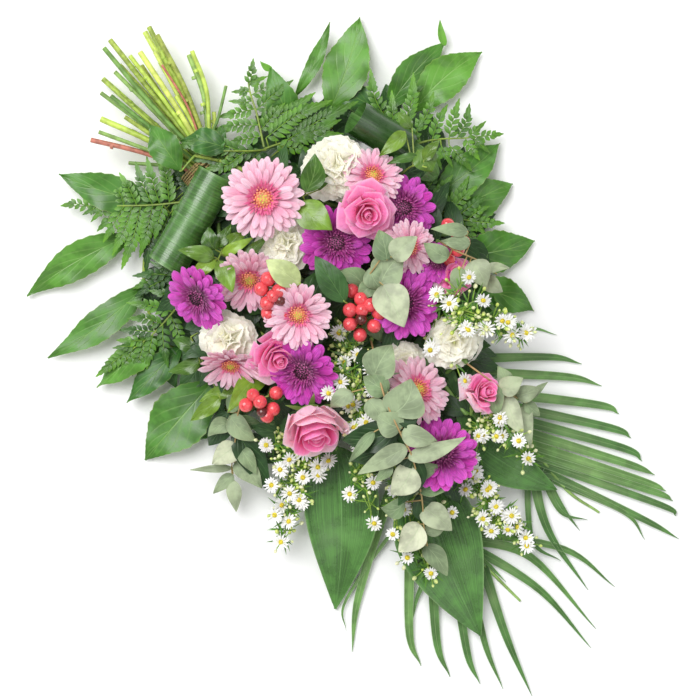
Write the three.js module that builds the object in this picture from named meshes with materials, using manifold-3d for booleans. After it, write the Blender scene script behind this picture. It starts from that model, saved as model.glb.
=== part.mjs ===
// Funeral spray: a flat, hand-tied flower arrangement that lies on its back on a surface.
// Millimetres, +Z up. The origin is the centre of the footprint, on the surface. The cut stems
// point to -X +Y, and the palm tips to +X -Y. Every bloom, leafy stem, frond and bunch is one
// named mesh; the stems that are bound together by the twine are one mesh.

import * as THREE from 'three';
import { mergeVertices } from 'three/addons/utils/BufferGeometryUtils.js';
import Module from 'manifold-3d';

const wasm = await Module();
wasm.setup();

// Driving dimensions
const LEAF_THICKNESS = 1.7; // at a leaf's midrib; its edges are sharp
const CLEARANCE = 0.35; // between two pieces that rest on each other
const LIFT_STEP = 2;
const MOST_LIFT = 44;
const TIE = new THREE.Vector3(-148, 192, 19.7); // centre of the binding point
const TIE_AXIS_DEG = -48; // from the binding point towards the flowers
const BUNDLE_HALF_WIDTH = 26;
const BUNDLE_HALF_HEIGHT = 16.5;
const TWINE_THICKNESS = 3;
const TWINE_WIDTH = 14;
const NECK_LENGTH = 22; // of the stem that is part of each bloom
const BERRY_NECK = 44;
const STEM_RADIUS = 2.3;
const GERBERA_PETALS = 12;
const FLORET_RAYS = 6;

const vec = (x, y, z) => new THREE.Vector3(x, y, z);
const radians = THREE.MathUtils.degToRad;
const UP = vec(0, 0, 1);
const heading = (degrees) => vec(Math.cos(radians(degrees)), Math.sin(radians(degrees)), 0);

// A repeatable stream of numbers from 0 to 1.
function seeded(seed) {
  let count = seed * 17;
  return () => {
    count += 1;
    const wave = Math.sin(count * 12.9898) * 43758.5453;
    return wave - Math.floor(wave);
  };
}

// From geometry to solids
function solidOf(geometry) {
  for (const extra of ['normal', 'uv']) geometry.deleteAttribute(extra);
  const merged = mergeVertices(geometry, 1e-4);
  const place = merged.attributes.position;
  const index = merged.index.array;
  let volume = 0;
  const [a, b, c] = [vec(), vec(), vec()];
  for (let i = 0; i < index.length; i += 3) {
    a.fromBufferAttribute(place, index[i]);
    b.fromBufferAttribute(place, index[i + 1]);
    c.fromBufferAttribute(place, index[i + 2]);
    volume += a.dot(b.cross(c));
  }
  const triVerts = new Uint32Array(index);
  if (volume < 0) triVerts.reverse();
  return new wasm.Manifold(new wasm.Mesh({ numProp: 3, vertProperties: place.array, triVerts }));
}

function solidFrom(points, faces) {
  const geometry = new THREE.BufferGeometry().setFromPoints(points);
  geometry.setIndex(faces.flat());
  return solidOf(geometry);
}

const union = (solids) => solids.reduce((whole, next) => whole.add(next));

function meshOf(name, solid, material) {
  const made = solid.getMesh();
  const geometry = new THREE.BufferGeometry();
  geometry.setAttribute('position', new THREE.BufferAttribute(made.vertProperties.slice(), 3));
  geometry.setIndex(new THREE.BufferAttribute(made.triVerts.slice(), 1));
  geometry.computeVertexNormals();
  const mesh = new THREE.Mesh(geometry, material);
  mesh.name = name;
  return mesh;
}

function largest(solid) {
  return solid.decompose().sort((p, q) => q.volume() - p.volume())[0];
}

// What lies on the surface is pressed flat against it.
const underground = solidOf(new THREE.BoxGeometry(900, 900, 40).translate(0, 0, -20));
const pressed = (solid) => largest(solid.subtract(underground));

// A stem of even thickness along a smooth line.
function tube(points, radius, sides = 4, steps = 4) {
  const section = new THREE.Shape();
  for (let i = 0; i < sides; i += 1) {
    const angle = (2 * Math.PI * i) / sides;
    const corner = [radius * Math.cos(angle), radius * Math.sin(angle)];
    if (i) section.lineTo(...corner);
    else section.moveTo(...corner);
  }
  section.closePath();
  const line = points.length > 2 ? new THREE.CatmullRomCurve3(points) : new THREE.LineCurve3(...points);
  const options = { steps, extrudePath: line, bevelEnabled: false };
  return solidOf(new THREE.ExtrudeGeometry(section, options));
}

// The places along the straight pieces of such a stem, from 0 at its start to 1 at its end.
function placesOn(points, steps) {
  const bends = new THREE.CatmullRomCurve3(points).getSpacedPoints(steps);
  return (t) => {
    const piece = Math.min(steps - 1, Math.floor(t * steps));
    return bends[piece].clone().lerp(bends[piece + 1], t * steps - piece);
  };
}

function turned(profile, segments = 8) {
  const outline = profile.map(([r, z]) => new THREE.Vector2(r, z));
  return solidOf(new THREE.LatheGeometry(outline, segments).rotateX(Math.PI / 2));
}

// A level ring of points, and one that faces along an axis.
function ring(count, radius, z, turn = 0) {
  if (count === 1) return [vec(0, 0, z)];
  return Array.from({ length: count }, (_, i) => (
    heading(turn + (360 * i) / count).multiplyScalar(radius).setZ(z)
  ));
}

function hoop(count, radius, centre, axis) {
  const facing = new THREE.Quaternion().setFromUnitVectors(UP, axis.clone().normalize());
  return ring(count, radius, 0).map((point) => point.applyQuaternion(facing).add(centre));
}

// A closed surface through rings of points from one end to the other. A ring has as many points
// as the next one, or a whole number of times as many; the first and last are single points.
function lofted(rings) {
  const faces = [];
  let start = 0;
  for (let k = 0; k + 1 < rings.length; k += 1) {
    const [here, next] = [rings[k].length, rings[k + 1].length];
    const widens = next >= here;
    const [few, many] = widens ? [here, next] : [next, here];
    const coarse = (i) => (widens ? start : start + here) + (i % few);
    const fine = (j) => (widens ? start + here : start) + (j % many);
    const put = (p, q, r) => faces.push(widens ? [p, q, r] : [p, r, q]);
    const share = many / few;
    const half = Math.ceil(share / 2);
    for (let i = 0; i < few; i += 1) {
      for (let j = 0; j < share; j += 1) {
        const corner = coarse(j < half ? i : i + 1);
        put(corner, fine(share * i + j + 1), fine(share * i + j));
      }
      if (few > 1) put(coarse(i), coarse(i + 1), fine(share * i + half));
    }
    start += here;
  }
  return solidFrom(rings.flat(), faces);
}

// Outlines of half a leaf's width, from its base at 0 to its tip at 1
const OVATE = (t) => Math.sin(Math.PI * t ** 0.78) ** 0.85;
const ROUND = (t) => Math.sin(Math.PI * t ** 0.86) ** 0.62;
const LANCE = (t) => Math.sin(Math.PI * t ** 0.62) ** 0.9;

// A leaf from base to tip. Its upper and lower faces are split alike and meet in sharp edges.
function leaf({ from, to, width, arch = 0, sway = 0, fold = 0.12, sections = 2,
  outline = OVATE, thickness = LEAF_THICKNESS }) {
  const along = to.clone().sub(from).normalize();
  const side = new THREE.Vector3().crossVectors(UP, along).normalize();
  const normal = new THREE.Vector3().crossVectors(along, side);
  const points = [from.clone(), to.clone()];
  const rows = [];
  for (let i = 1; i <= sections; i += 1) {
    const t = i / (sections + 1);
    const bow = 4 * t * (1 - t);
    const middle = from.clone().lerp(to, t).addScaledVector(normal, arch * bow);
    middle.addScaledVector(side, sway * bow);
    const half = (width / 2) * outline(t);
    const start = points.length;
    for (const way of [1, -1]) {
      const edge = middle.clone().addScaledVector(side, way * half);
      points.push(edge.addScaledVector(normal, fold * half));
    }
    for (const way of [1, -1]) points.push(middle.clone().addScaledVector(normal, (way * thickness) / 2));
    rows.push({ edges: [start, start + 1], faces: [start + 2, start + 3] });
  }
  const faces = [];
  const [first, last] = [rows[0], rows[rows.length - 1]];
  for (const edge of [0, 1]) {
    for (const face of [0, 1]) {
      const put = (p, q, r) => faces.push(edge === face ? [p, q, r] : [p, r, q]);
      put(0, first.edges[edge], first.faces[face]);
      rows.slice(1).forEach((row, i) => {
        put(rows[i].edges[edge], row.edges[edge], row.faces[face]);
        put(rows[i].edges[edge], row.faces[face], rows[i].faces[face]);
      });
      put(last.edges[edge], 1, last.faces[face]);
    }
  }
  return solidFrom(points, faces);
}

// The edge of one leaflet from the rib round its tip, as [share of its length, of its half width].
const PLAIN_LEAFLET = [[0.38, 1], [1, 0], [0.38, -1]];
const LOBED_LEAFLET = [
  [0.26, 1], [0.44, 0.42], [0.66, 0.78], [1, 0], [0.66, -0.78], [0.44, -0.42], [0.26, -1],
];
const LOBE_RIDGE = 0.46;

// A frond as one thin blade whose leaflets are cut to the rib. The rib is four-sided, and its
// side edges run out into leaflets: { segment, tip, width }.
function frondBlade({ rib, stations, halfWidth, halfHeight, leaflets, end, lobed = false }) {
  const curve = new THREE.CatmullRomCurve3(rib);
  const points = [];
  const add = (point) => points.push(point) - 1;
  const nodes = stations.map((t) => {
    const middle = curve.getPointAt(t);
    const ahead = curve.getTangentAt(t).setZ(0).normalize();
    const left = vec(-ahead.y, ahead.x, 0);
    const slim = 1 - 0.5 * t;
    const at = (sideways, up) => add(middle.clone().addScaledVector(left, sideways).add(vec(0, 0, up)));
    return {
      middle,
      ahead,
      faces: [at(0, halfHeight * slim), at(0, -halfHeight * slim)],
      edges: [at(halfWidth * slim, 0), at(-halfWidth * slim, 0)],
    };
  });
  const faces = [];
  nodes.slice(1).forEach((next, i) => {
    const node = nodes[i];
    const base = node.middle.clone().lerp(next.middle, 0.5);
    for (const edge of [0, 1]) {
      const grown = leaflets.find(({ segment, tip }) => {
        const out = tip.clone().sub(base);
        const turn = node.ahead.x * out.y - node.ahead.y * out.x;
        return segment === i && (turn > 0) === (edge === 0);
      });
      let outline = [node.edges[edge], next.edges[edge]];
      let ridge = null;
      if (grown) {
        const span = grown.tip.clone().sub(base);
        const level = new THREE.Vector3().crossVectors(UP, span).normalize();
        const rear = edge === 0 ? 1 : -1;
        const shape = (lobed ? LOBED_LEAFLET : PLAIN_LEAFLET).map(([share, out]) => add(
          base.clone().addScaledVector(span, share).addScaledVector(level, rear * out * grown.width * 0.5),
        ));
        outline = [outline[0], ...shape, outline[1]];
        const middle = base.clone().addScaledVector(span, LOBE_RIDGE);
        if (lobed) ridge = [0.45, -0.45].map((up) => add(middle.clone().add(vec(0, 0, up))));
      }
      for (const face of [0, 1]) {
        const put = (p, q, r) => faces.push(edge === face ? [p, q, r] : [p, r, q]);
        const root = node.faces[face];
        for (let j = 0; j + 1 < outline.length; j += 1) {
          const onRidge = ridge && j >= 2 && j < 6;
          put(onRidge ? ridge[face] : root, outline[j + 1], outline[j]);
        }
        if (ridge) put(root, ridge[face], outline[2]);
        if (ridge) put(root, outline[6], ridge[face]);
        put(root, next.faces[face], outline[outline.length - 1]);
      }
    }
  });
  const [first, last] = [nodes[0], nodes[nodes.length - 1]];
  const tip = add(end);
  for (const edge of [0, 1]) {
    for (const face of [0, 1]) {
      const put = (p, q, r) => faces.push(edge === face ? [p, q, r] : [p, r, q]);
      put(last.faces[face], tip, last.edges[edge]);
    }
  }
  faces.push([first.faces[0], first.edges[0], first.faces[1]]);
  faces.push([first.faces[0], first.faces[1], first.edges[1]]);
  return solidFrom(points, faces);
}

// Blooms, each round the Z axis with its face up and its neck below
const neckRings = (swell, top) => [
  ring(1, 0, -NECK_LENGTH), ring(3, STEM_RADIUS, -NECK_LENGTH),
  ring(3, STEM_RADIUS + 0.4, -9), ring(6, swell, top),
];

// The outline of one layer of petals: a notch, and then the corners of one petal's end.
function petalOutline({ turn, notch, reach, corners, height, ragged, random }) {
  const pitch = 360 / GERBERA_PETALS;
  const points = [];
  for (let i = 0; i < GERBERA_PETALS; i += 1) {
    const long = reach * (1 - ragged * random());
    const wave = reach * ragged * (random() - 0.5);
    points.push(heading(turn + pitch * i).multiplyScalar(notch).setZ(height(notch)));
    for (const share of corners) {
      points.push(heading(turn + pitch * (i + share)).multiplyScalar(long).setZ(height(long) + wave));
    }
  }
  return points;
}

function gerbera({ radius, seed, simple }) {
  const random = seeded(seed);
  const low = (r) => 0.5 + 0.1 * r;
  const steep = (r) => 1.4 + 0.1 * radius * 0.26 + 0.36 * (r - radius * 0.26);
  const outer = petalOutline({
    turn: 0, notch: radius * 0.5, reach: radius, corners: [0.24, 0.76], height: low, ragged: 0.07, random,
  });
  const inner = petalOutline({
    turn: 0, notch: radius * 0.38, reach: radius * 0.66, corners: [0.5], height: steep, ragged: 0.1, random,
  });
  return lofted([
    ...neckRings(radius * 0.17, -3.5),
    ring(GERBERA_PETALS, radius * 0.22, low(radius * 0.22) - 1),
    outer,
    ring(GERBERA_PETALS, radius * 0.26, low(radius * 0.26) + 1),
    ...(simple ? [] : [inner, ring(GERBERA_PETALS, radius * 0.23, low(radius * 0.2) + 3.2)]),
    ring(6, radius * 0.17, low(0) + 5.4),
    ring(1, 0, low(0) + 5),
  ]);
}

const FRILL_POINTS = 18;

// One frilled edge of a carnation's petals.
function frill(reach, z, random) {
  return Array.from({ length: FRILL_POINTS }, (_, i) => {
    const crest = i % 2 ? 1 : -1;
    const out = reach * (1 - 0.14 * random() + 0.04 * crest);
    const angle = (360 * (i + 0.3 * (random() - 0.5))) / FRILL_POINTS;
    return heading(angle).multiplyScalar(out).setZ(z + 1.3 * crest + reach * 0.1 * (random() - 0.5));
  });
}

function carnation({ radius, seed }) {
  const random = seeded(seed);
  return lofted([
    ...neckRings(radius * 0.3, -4),
    frill(radius, 0, random), ring(6, radius * 0.55, 4),
    frill(radius * 0.97, 9, random), ring(6, radius * 0.46, 10),
    frill(radius * 0.78, 16, random), ring(6, radius * 0.3, 15),
    frill(radius * 0.46, 22, random), ring(1, 0, 18),
  ]);
}

const ROSE_COLUMNS = 12;

// The rim of one ring of rose petals: it dips where two petals meet.
function petalRim(reach, z, seam) {
  return Array.from({ length: ROSE_COLUMNS }, (_, i) => {
    const share = (i + seam) % 3 === 0 ? 0.84 : 1;
    return heading((360 * i) / ROSE_COLUMNS).multiplyScalar(reach * share).setZ(z * share);
  });
}

function rose({ radius }) {
  return lofted([
    ...neckRings(radius * 0.34, -2),
    ring(ROSE_COLUMNS, radius * 0.78, radius * 0.1), petalRim(radius, radius * 0.6, 0),
    ring(ROSE_COLUMNS, radius * 0.72, radius * 0.34), petalRim(radius * 0.79, radius * 0.84, 1),
    ring(ROSE_COLUMNS, radius * 0.48, radius * 0.5), petalRim(radius * 0.5, radius * 0.97, 2),
    ring(6, radius * 0.24, radius * 0.7), ring(1, 0, radius),
  ]);
}

// A bunch of berries on a hidden head of short stalks
function berries({ radius, seed, number, leafHeadings = [] }) {
  const random = seeded(seed);
  const pieces = [lofted([
    ring(1, 0, -BERRY_NECK), ring(5, 2, -BERRY_NECK), ring(5, 2.4, -14), ring(5, radius * 0.6, -5),
    ring(1, 0, 1),
  ])];
  for (let i = 0; i < number; i += 1) {
    const out = radius * Math.sqrt((i + 0.3) / number);
    const centre = heading(137.5 * i + 30 * random()).multiplyScalar(out);
    centre.setZ(2.6 - 0.02 * out * out + 3 * random());
    const berry = lofted([ring(1, 0, -6.4), ring(5, 5, -2.6), ring(5, 5.2, 2.2), ring(1, 0, 6)]);
    pieces.push(berry.translate(centre.x, centre.y, centre.z));
  }
  for (const angle of leafHeadings) {
    const to = heading(angle).multiplyScalar(radius + 22).setZ(-4);
    pieces.push(leaf({ from: vec(0, 0, -13), to, width: 22, arch: 3 }));
  }
  return largest(union(pieces));
}

// A star-shaped floret on its stalk, which starts in the stem at the root.
function floret(radius, head, facing, root) {
  const star = Array.from({ length: 2 * FLORET_RAYS }, (_, i) => {
    const out = i % 2 ? radius : radius * 0.45;
    return heading((180 * i) / FLORET_RAYS).multiplyScalar(out).setZ(i % 2 ? 1.4 : 0.4);
  });
  const tilt = new THREE.Quaternion().setFromUnitVectors(UP, facing);
  const toHead = (point) => point.applyQuaternion(tilt).add(head);
  const stalk = head.clone().sub(root).normalize();
  return lofted([
    [root.clone().addScaledVector(stalk, -6)],
    hoop(3, 1.3, head.clone().addScaledVector(stalk, -3), stalk),
    star.map(toHead), [toHead(vec(0, 0, 2.6))],
  ]);
}

// Placing pieces so that none crosses another
const placed = [];
const boundsOf = (solid) => solid.boundingBox();
const apart = (p, q) => [0, 1, 2].some((k) => p.min[k] > q.max[k] + 1 || q.min[k] > p.max[k] + 1);
const NUDGES = [[0, 0, 0], [0, 0, -1], [0.8, 0, 0.3], [-0.4, 0.7, 0.3], [-0.4, -0.7, 0.3]];

function crosses(solid) {
  const bounds = boundsOf(solid);
  const near = placed.filter((other) => !apart(bounds, other.bounds));
  return near.some((other) => solid.intersect(other.solid).volume() > 1e-4);
}

// Clear of all that is placed, with the clearance left round it.
function clear(solid) {
  return !NUDGES.some((nudge) => crosses(solid.translate(nudge.map((part) => part * CLEARANCE))));
}

function keep(name, solid, material, anchor) {
  placed.push({ name, solid, material, anchor, bounds: boundsOf(solid) });
}

// Turns a bloom to face where it leans, and sets its heart at the place given.
function stand(solid, { x, y, z, lean = 0, to = 0, spin = 0 }) {
  return solid.rotate(0, 0, spin - to).rotate(0, lean, 0).rotate(0, 0, to).translate(x, y, z);
}

function axisOf({ lean = 0, to = 0 }) {
  return heading(to).multiplyScalar(Math.sin(radians(lean))).setZ(Math.cos(radians(lean)));
}

// What a bloom needs free round it: the pieces below it are cut back to this.
const ROOM_SIDES = 10;

function envelope(kind, { radius }) {
  const room = (radius + 0.8) / Math.cos(Math.PI / ROOM_SIDES);
  const foot = [[0, -NECK_LENGTH - 1], [4, -NECK_LENGTH - 1]];
  const shapes = {
    gerbera: [
      ...foot, [radius * 0.3, -4], [room, radius * 0.02 - 1], [room, radius * 0.2 + 2],
      [radius * 0.6, radius * 0.24 + 4], [0, radius * 0.24 + 4],
    ],
    carnation: [
      ...foot, [radius * 0.4, -5], [room, -5], [room * 1.02, 14], [room * 0.6, 26], [0, 27],
    ],
    rose: [
      ...foot, [radius * 0.5, -4], [room, radius * 0.2], [room * 1.05, radius * 0.7],
      [room * 0.5, radius * 1.1], [0, radius * 1.1],
    ],
    berries: [
      [0, -BERRY_NECK - 1], [4, -BERRY_NECK - 1], [4, -15], [room + 6, -7], [room + 6, 6],
      [room * 0.5, 13], [0, 13],
    ],
  };
  return turned(shapes[kind], ROOM_SIDES);
}

const envelopes = [];
const MAKERS = { gerbera, carnation, rose, berries };

function addBloom(kind, bloom, material) {
  let solid = stand(MAKERS[kind](bloom), bloom);
  const bounds = boundsOf(solid);
  for (const other of envelopes) {
    if (!apart(bounds, other.bounds)) solid = solid.subtract(other.solid);
  }
  solid = largest(solid);
  const room = stand(envelope(kind, bloom), bloom);
  envelopes.push({ solid: room, bounds: boundsOf(room) });
  const down = axisOf(bloom).negate();
  const neck = kind === 'berries' ? BERRY_NECK : NECK_LENGTH;
  const point = vec(bloom.x, bloom.y, bloom.z).addScaledVector(down, neck);
  keep(bloom.name, solid, material, { point, down, main: true });
}

// A node made of one main stem and parts that grow from it. The whole is lifted until its stem
// is clear, and a part that would still cross a neighbour is tilted up, or left out.
function addGrown(name, material, makeStem, parts, anchor) {
  let lift = 0;
  while (lift < MOST_LIFT && !clear(makeStem().translate(0, 0, lift))) lift += LIFT_STEP;
  let solid = makeStem().translate(0, 0, lift);
  for (const part of parts) {
    for (const tilt of [0, 10, 20, 34, -10]) {
      const piece = part(tilt).translate(0, 0, lift);
      if (clear(piece)) {
        solid = solid.add(piece);
        break;
      }
    }
  }
  const point = anchor.point.clone().setZ(anchor.point.z + lift);
  keep(name, largest(solid), material, { point, down: anchor.down });
}

function tiltedTip(from, angle, length, degrees) {
  const flat = heading(angle).multiplyScalar(length * Math.cos(radians(degrees)));
  return from.clone().add(flat.setZ(length * Math.sin(radians(degrees))));
}

const startOf = (line) => ({ point: line[0], down: line[0].clone().sub(line[1]).normalize() });

function leafyStem({ name, material, stem, radius = 1.5, leaves, outline }) {
  const place = placesOn(stem, stem.length);
  const parts = leaves.map(([t, angle, length, width, pitch = 0]) => (tilt) => {
    const from = place(t);
    const to = tiltedTip(from, angle, length, pitch + tilt);
    return leaf({ from, to, width, outline, arch: length * 0.06 });
  });
  addGrown(name, material, () => tube(stem, radius, 3, stem.length), parts, startOf(stem));
}

function asterSpray({ name, material, stem: [first, ...rest], florets, radius = 8, seed }) {
  const foot = first.clone().sub(rest[0]).setLength(10).add(first);
  const stem = [foot, first, ...rest];
  const place = placesOn(stem, stem.length);
  const samples = Array.from({ length: 25 }, (_, i) => place(i / 24));
  const random = seeded(seed);
  const parts = florets.map(([x, y]) => {
    const away = (p) => Math.hypot(p.x - x, p.y - y);
    const nearest = samples.reduce((best, p) => (away(p) < away(best) ? p : best));
    const root = samples[Math.max(1, samples.indexOf(nearest) - 3)];
    const height = nearest.z + 6 + 8 * random();
    const facing = vec(0.4 * (random() - 0.5), 0.4 * (random() - 0.5), 1).normalize();
    return (tilt) => floret(radius, vec(x, y, height + tilt), facing, root);
  });
  addGrown(name, material, () => tube(stem, 1.4, 3, stem.length), parts, startOf(stem));
}

// A fern frond: pinnae in two rows, longest near the root, each lobed.
function frond({ points, reach, pairs, width = 15, open = 68 }) {
  const line = new THREE.CatmullRomCurve3(points);
  const stations = [0, ...Array.from({ length: pairs + 1 }, (_, i) => 0.1 + (0.84 * i) / pairs)];
  const leaflets = [];
  for (let i = 1; i <= pairs; i += 1) {
    const t = (stations[i] + stations[i + 1]) / 2;
    const ahead = line.getTangentAt(t).setZ(0).normalize();
    const length = reach * (1 - t) ** 0.7 * Math.min(1, 0.72 + 2 * t);
    for (const way of [1, -1]) {
      const out = ahead.clone().applyAxisAngle(UP, way * radians(open - 20 * t));
      const tip = line.getPointAt(t).addScaledVector(out, length).add(vec(0, 0, -2));
      leaflets.push({ segment: i, tip, width: width * (1 - 0.3 * t) });
    }
  }
  const end = points[points.length - 1];
  return frondBlade({ rib: points, stations, halfWidth: 1.6, halfHeight: 1.2, leaflets, end, lobed: true });
}

// Materials
const paint = (color, roughness = 0.6) => new THREE.MeshStandardMaterial({ color, roughness, metalness: 0 });
const PINK = paint(0xf4b6cd);
const PURPLE = paint(0xa62aa0);
const ROSE_PINK = paint(0xe573a6);
const CREAM = paint(0xf4f2df);
const BERRY_RED = paint(0xe34a4a, 0.25);
const LEAF_GREEN = paint(0x2f6f2b, 0.4);
const FERN_GREEN = paint(0x3f8a33);
const PALM_GREEN = paint(0x3f7d3a);
const BROAD_GREEN = paint(0x3c7a35, 0.35);
const GREY_GREEN = paint(0x8ea98a);
const ASTER_WHITE = paint(0xf2f4e4);
const SPRIG_GREEN = paint(0x54872c, 0.35);
const STEM_GREEN = paint(0x9fbf4a);
const TWINE_STRAW = paint(0xc9b37a, 0.9);

// The back: palms, broad leaves, leaf branches and ferns
// palm leaflets: [segment of the rachis, tip x, y, z, width]
function palm(name, rachis, segments, end, rows) {
  const stations = Array.from({ length: segments }, (_, i) => i / (segments - 1));
  const leaflets = rows.map(([segment, x, y, z, width]) => ({ segment, tip: vec(x, y, z), width }));
  const blade = frondBlade({ rib: rachis, stations, halfWidth: 3, halfHeight: 2.6, leaflets, end });
  keep(name, pressed(blade), PALM_GREEN, startOf(rachis));
}

palm(
  'palm_frond_right',
  [vec(98, 20, 22), vec(128, -18, 9), vec(170, -75, 1.6), vec(214, -134, 1.4)], 13, vec(292, -184, 0.6),
  [
    [2, 228, -9, 1.4, 10], [3, 247, -31, 1.4, 11], [4, 266, -59, 1.4, 11], [5, 278, -83, 1.4, 11],
    [6, 289, -105, 1.4, 11], [7, 301, -119, 1.4, 11], [8, 313, -136, 1.4, 10], [9, 320, -148, 1.4, 10],
    [10, 323, -163, 1.4, 9], [11, 325, -184, 1.4, 9], [7, 235, -235, 1.4, 12], [9, 262, -232, 1.4, 10],
  ],
);
palm(
  'palm_frond_bottom',
  [vec(40, -80, 24), vec(70, -134, 9), vec(108, -186, 1.6), vec(146, -226, 1.4)], 12, vec(238, -293, 0.6),
  [
    [1, 4, -285, 1.4, 11], [3, 67, -309, 1.4, 12], [4, 96, -321, 1.4, 12], [6, 127, -328, 1.4, 12],
    [8, 149, -326, 1.4, 9], [10, 178, -337, 1.4, 12], [9, 243, -273, 1.4, 9], [7, 196, -206, 1.4, 8],
  ],
);

function broadLeaf(name, from, to, width, arch, sway) {
  const blade = leaf({ from, to, width, arch, sway, fold: 0.1, sections: 5, outline: LANCE, thickness: 2 });
  const start = from.clone().addScaledVector(to.clone().sub(from).normalize(), 6);
  const inner = from.clone().lerp(to, -0.14).add(vec(0, 0, 3));
  keep(name, blade.add(tube([inner, start], 2.2, 5, 1)), BROAD_GREEN, startOf([inner, start]));
}

broadLeaf('broad_leaf_left', vec(-17, -92, 26), vec(-18, -258, 3), 76, 7, 6);
broadLeaf('broad_leaf_middle', vec(66, -128, 27), vec(129, -283, 10), 66, 7, -5);
broadLeaf('broad_leaf_right', vec(118, -84, 27), vec(206, -136, 15), 46, 4, -4);

// leaves: [place on the stem, tip x, y, width, sway]
function leafBranch(name, stem, leaves, tipHeight = 0.6, sections = 3) {
  const pieces = [tube(stem, 2.2, 3, stem.length)];
  const place = placesOn(stem, stem.length);
  for (const [t, x, y, width, sway = 0] of leaves) {
    const from = place(t);
    pieces.push(leaf({ from, to: vec(x, y, tipHeight), width, arch: 4, sway, sections }));
  }
  keep(name, pressed(union(pieces)), LEAF_GREEN, startOf(stem));
}

leafBranch('leaf_branch_left', [
  vec(-150, 142, 20), vec(-185, 138, 8), vec(-212, 95, 1.4), vec(-200, 25, 1.4), vec(-146, -16, 2),
], [
  [0.2, -293, 181, 38, -4], [0.44, -325, 59, 48, 6], [0.54, -305, -4, 40, 6],
  [0.76, -256, -34, 36, 0], [0.86, -226, -48, 30, 0], [0.98, -208, -105, 76, 0],
]);
leafBranch('leaf_branch_top', [
  vec(-98, 178, 20), vec(-68, 212, 8), vec(-18, 232, 1.4), vec(32, 246, 1.4), vec(66, 238, 2),
], [
  [0.22, -91, 295, 26, 0], [0.4, -18, 333, 16, 3], [0.62, 5, 337, 52, -3],
  [0.84, 94, 330, 44, 0], [0.98, 128, 303, 48, -3],
]);
leafBranch('leaf_branch_right', [
  vec(60, 178, 20), vec(80, 158, 8), vec(104, 120, 1.4), vec(122, 70, 1.4),
], [
  [0.24, 148, 212, 38, 0], [0.48, 162, 172, 38, 0], [0.72, 182, 114, 40, 2], [0.97, 180, 46, 38, 0],
]);
leafBranch('collar_leaves', [vec(-108, 184, 44), vec(-130, 193, 44), vec(-158, 199, 44)], [
  [0.95, -203, 228, 34, 0], [0.3, -176, 214, 30, -4], [0.55, -130, 236, 24, 0],
], 44, 2);

function addFronds(name, fronds) {
  keep(name, largest(union(fronds.map(frond))), FERN_GREEN, startOf(fronds[0].points));
}

addFronds('fern_left', [
  { points: [vec(-162, 156, 24), vec(-200, 155, 20), vec(-292, 152, 15)], reach: 56, pairs: 6, width: 19 },
]);
addFronds('fern_lower_left', [{
  points: [vec(-152, 92, 26), vec(-180, 60, 20), vec(-212, 28, 17), vec(-257, -20, 14)],
  reach: 44, pairs: 6, width: 16,
}]);
addFronds('ferns_top', [
  {
    points: [vec(-104, 180, 30), vec(-93, 200, 25), vec(-94, 232, 20), vec(-101, 294, 15)],
    reach: 42, pairs: 5, width: 16,
  },
  { points: [vec(-102, 181, 29), vec(-70, 209, 22), vec(4, 256, 17)], reach: 30, pairs: 4, width: 14 },
]);
addFronds('ferns_right', [
  { points: [vec(44, 186, 24), vec(92, 208, 21), vec(150, 221, 15)], reach: 44, pairs: 5, width: 16 },
  { points: [vec(46, 187, 24), vec(84, 152, 21), vec(150, 130, 16)], reach: 28, pairs: 4, width: 14 },
]);

// Two broad leaves that are rolled into loops, each with its leaf stalk
function rolledLeaf(name, from, to, radius, stalk) {
  const length = from.distanceTo(to);
  const section = new THREE.Shape();
  const spiral = (share, inset) => {
    const angle = radians(-120 + 410 * share);
    const r = radius * (1 - 0.2 * share) - inset;
    return [r * Math.cos(angle), r * Math.sin(angle)];
  };
  const steps = 12;
  section.moveTo(...spiral(0, 0));
  for (let i = 1; i <= steps; i += 1) section.lineTo(...spiral(i / steps, 0));
  for (let i = steps; i >= 0; i -= 1) section.lineTo(...spiral(i / steps, 1.4));
  section.closePath();
  const geometry = new THREE.ExtrudeGeometry(section, { depth: length, bevelEnabled: false });
  const pose = new THREE.Object3D();
  pose.position.copy(from);
  pose.up.copy(UP);
  pose.lookAt(to);
  pose.updateMatrix();
  geometry.applyMatrix4(pose.matrix);
  keep(name, largest(solidOf(geometry).add(tube(stalk, 2.2, 4, 1))), BROAD_GREEN, startOf(stalk));
}

rolledLeaf(
  'rolled_leaf_left', vec(-187, 84, 50), vec(-152, 166, 62), 21, [vec(-138, 170, 42), vec(-150, 160, 43)],
);
rolledLeaf(
  'rolled_leaf_top', vec(8, 236, 48), vec(60, 204, 48), 20, [vec(26, 208, 26), vec(34, 219, 30)],
);

// Blooms, the highest first
// rows: [number, x, y, height of the heart, radius, lean, heading of the lean]
const gerberas = (material, rows) => rows.map(([number, x, y, z, radius, lean, to, simple = false]) => {
  const name = `gerbera_${material === PINK ? 'pink' : 'purple'}_${number}`;
  const seed = number + (material === PINK ? 0 : 10);
  return ['gerbera', material, { name, x, y, z, radius, lean, to, seed, simple }];
});
const roses = (rows) => rows.map(([number, x, y, z, radius, lean, to]) => (
  ['rose', ROSE_PINK, { name: `rose_${number}`, x, y, z, radius, lean, to }]
));
const carnations = (rows) => rows.map(([number, x, y, z, radius, lean, to]) => (
  ['carnation', CREAM, { name: `carnation_${number}`, x, y, z, radius, lean, to, seed: 30 + number }]
));
// rows: [number, x, y, height, radius, number of berries, headings of the leaves]
const bunches = (rows) => rows.map(([bunch, x, y, z, radius, number, ...leafHeadings]) => {
  const name = `berries_${bunch}`;
  return ['berries', BERRY_RED, { name, x, y, z, radius, number, seed: 40 + bunch, leafHeadings }];
});

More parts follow.
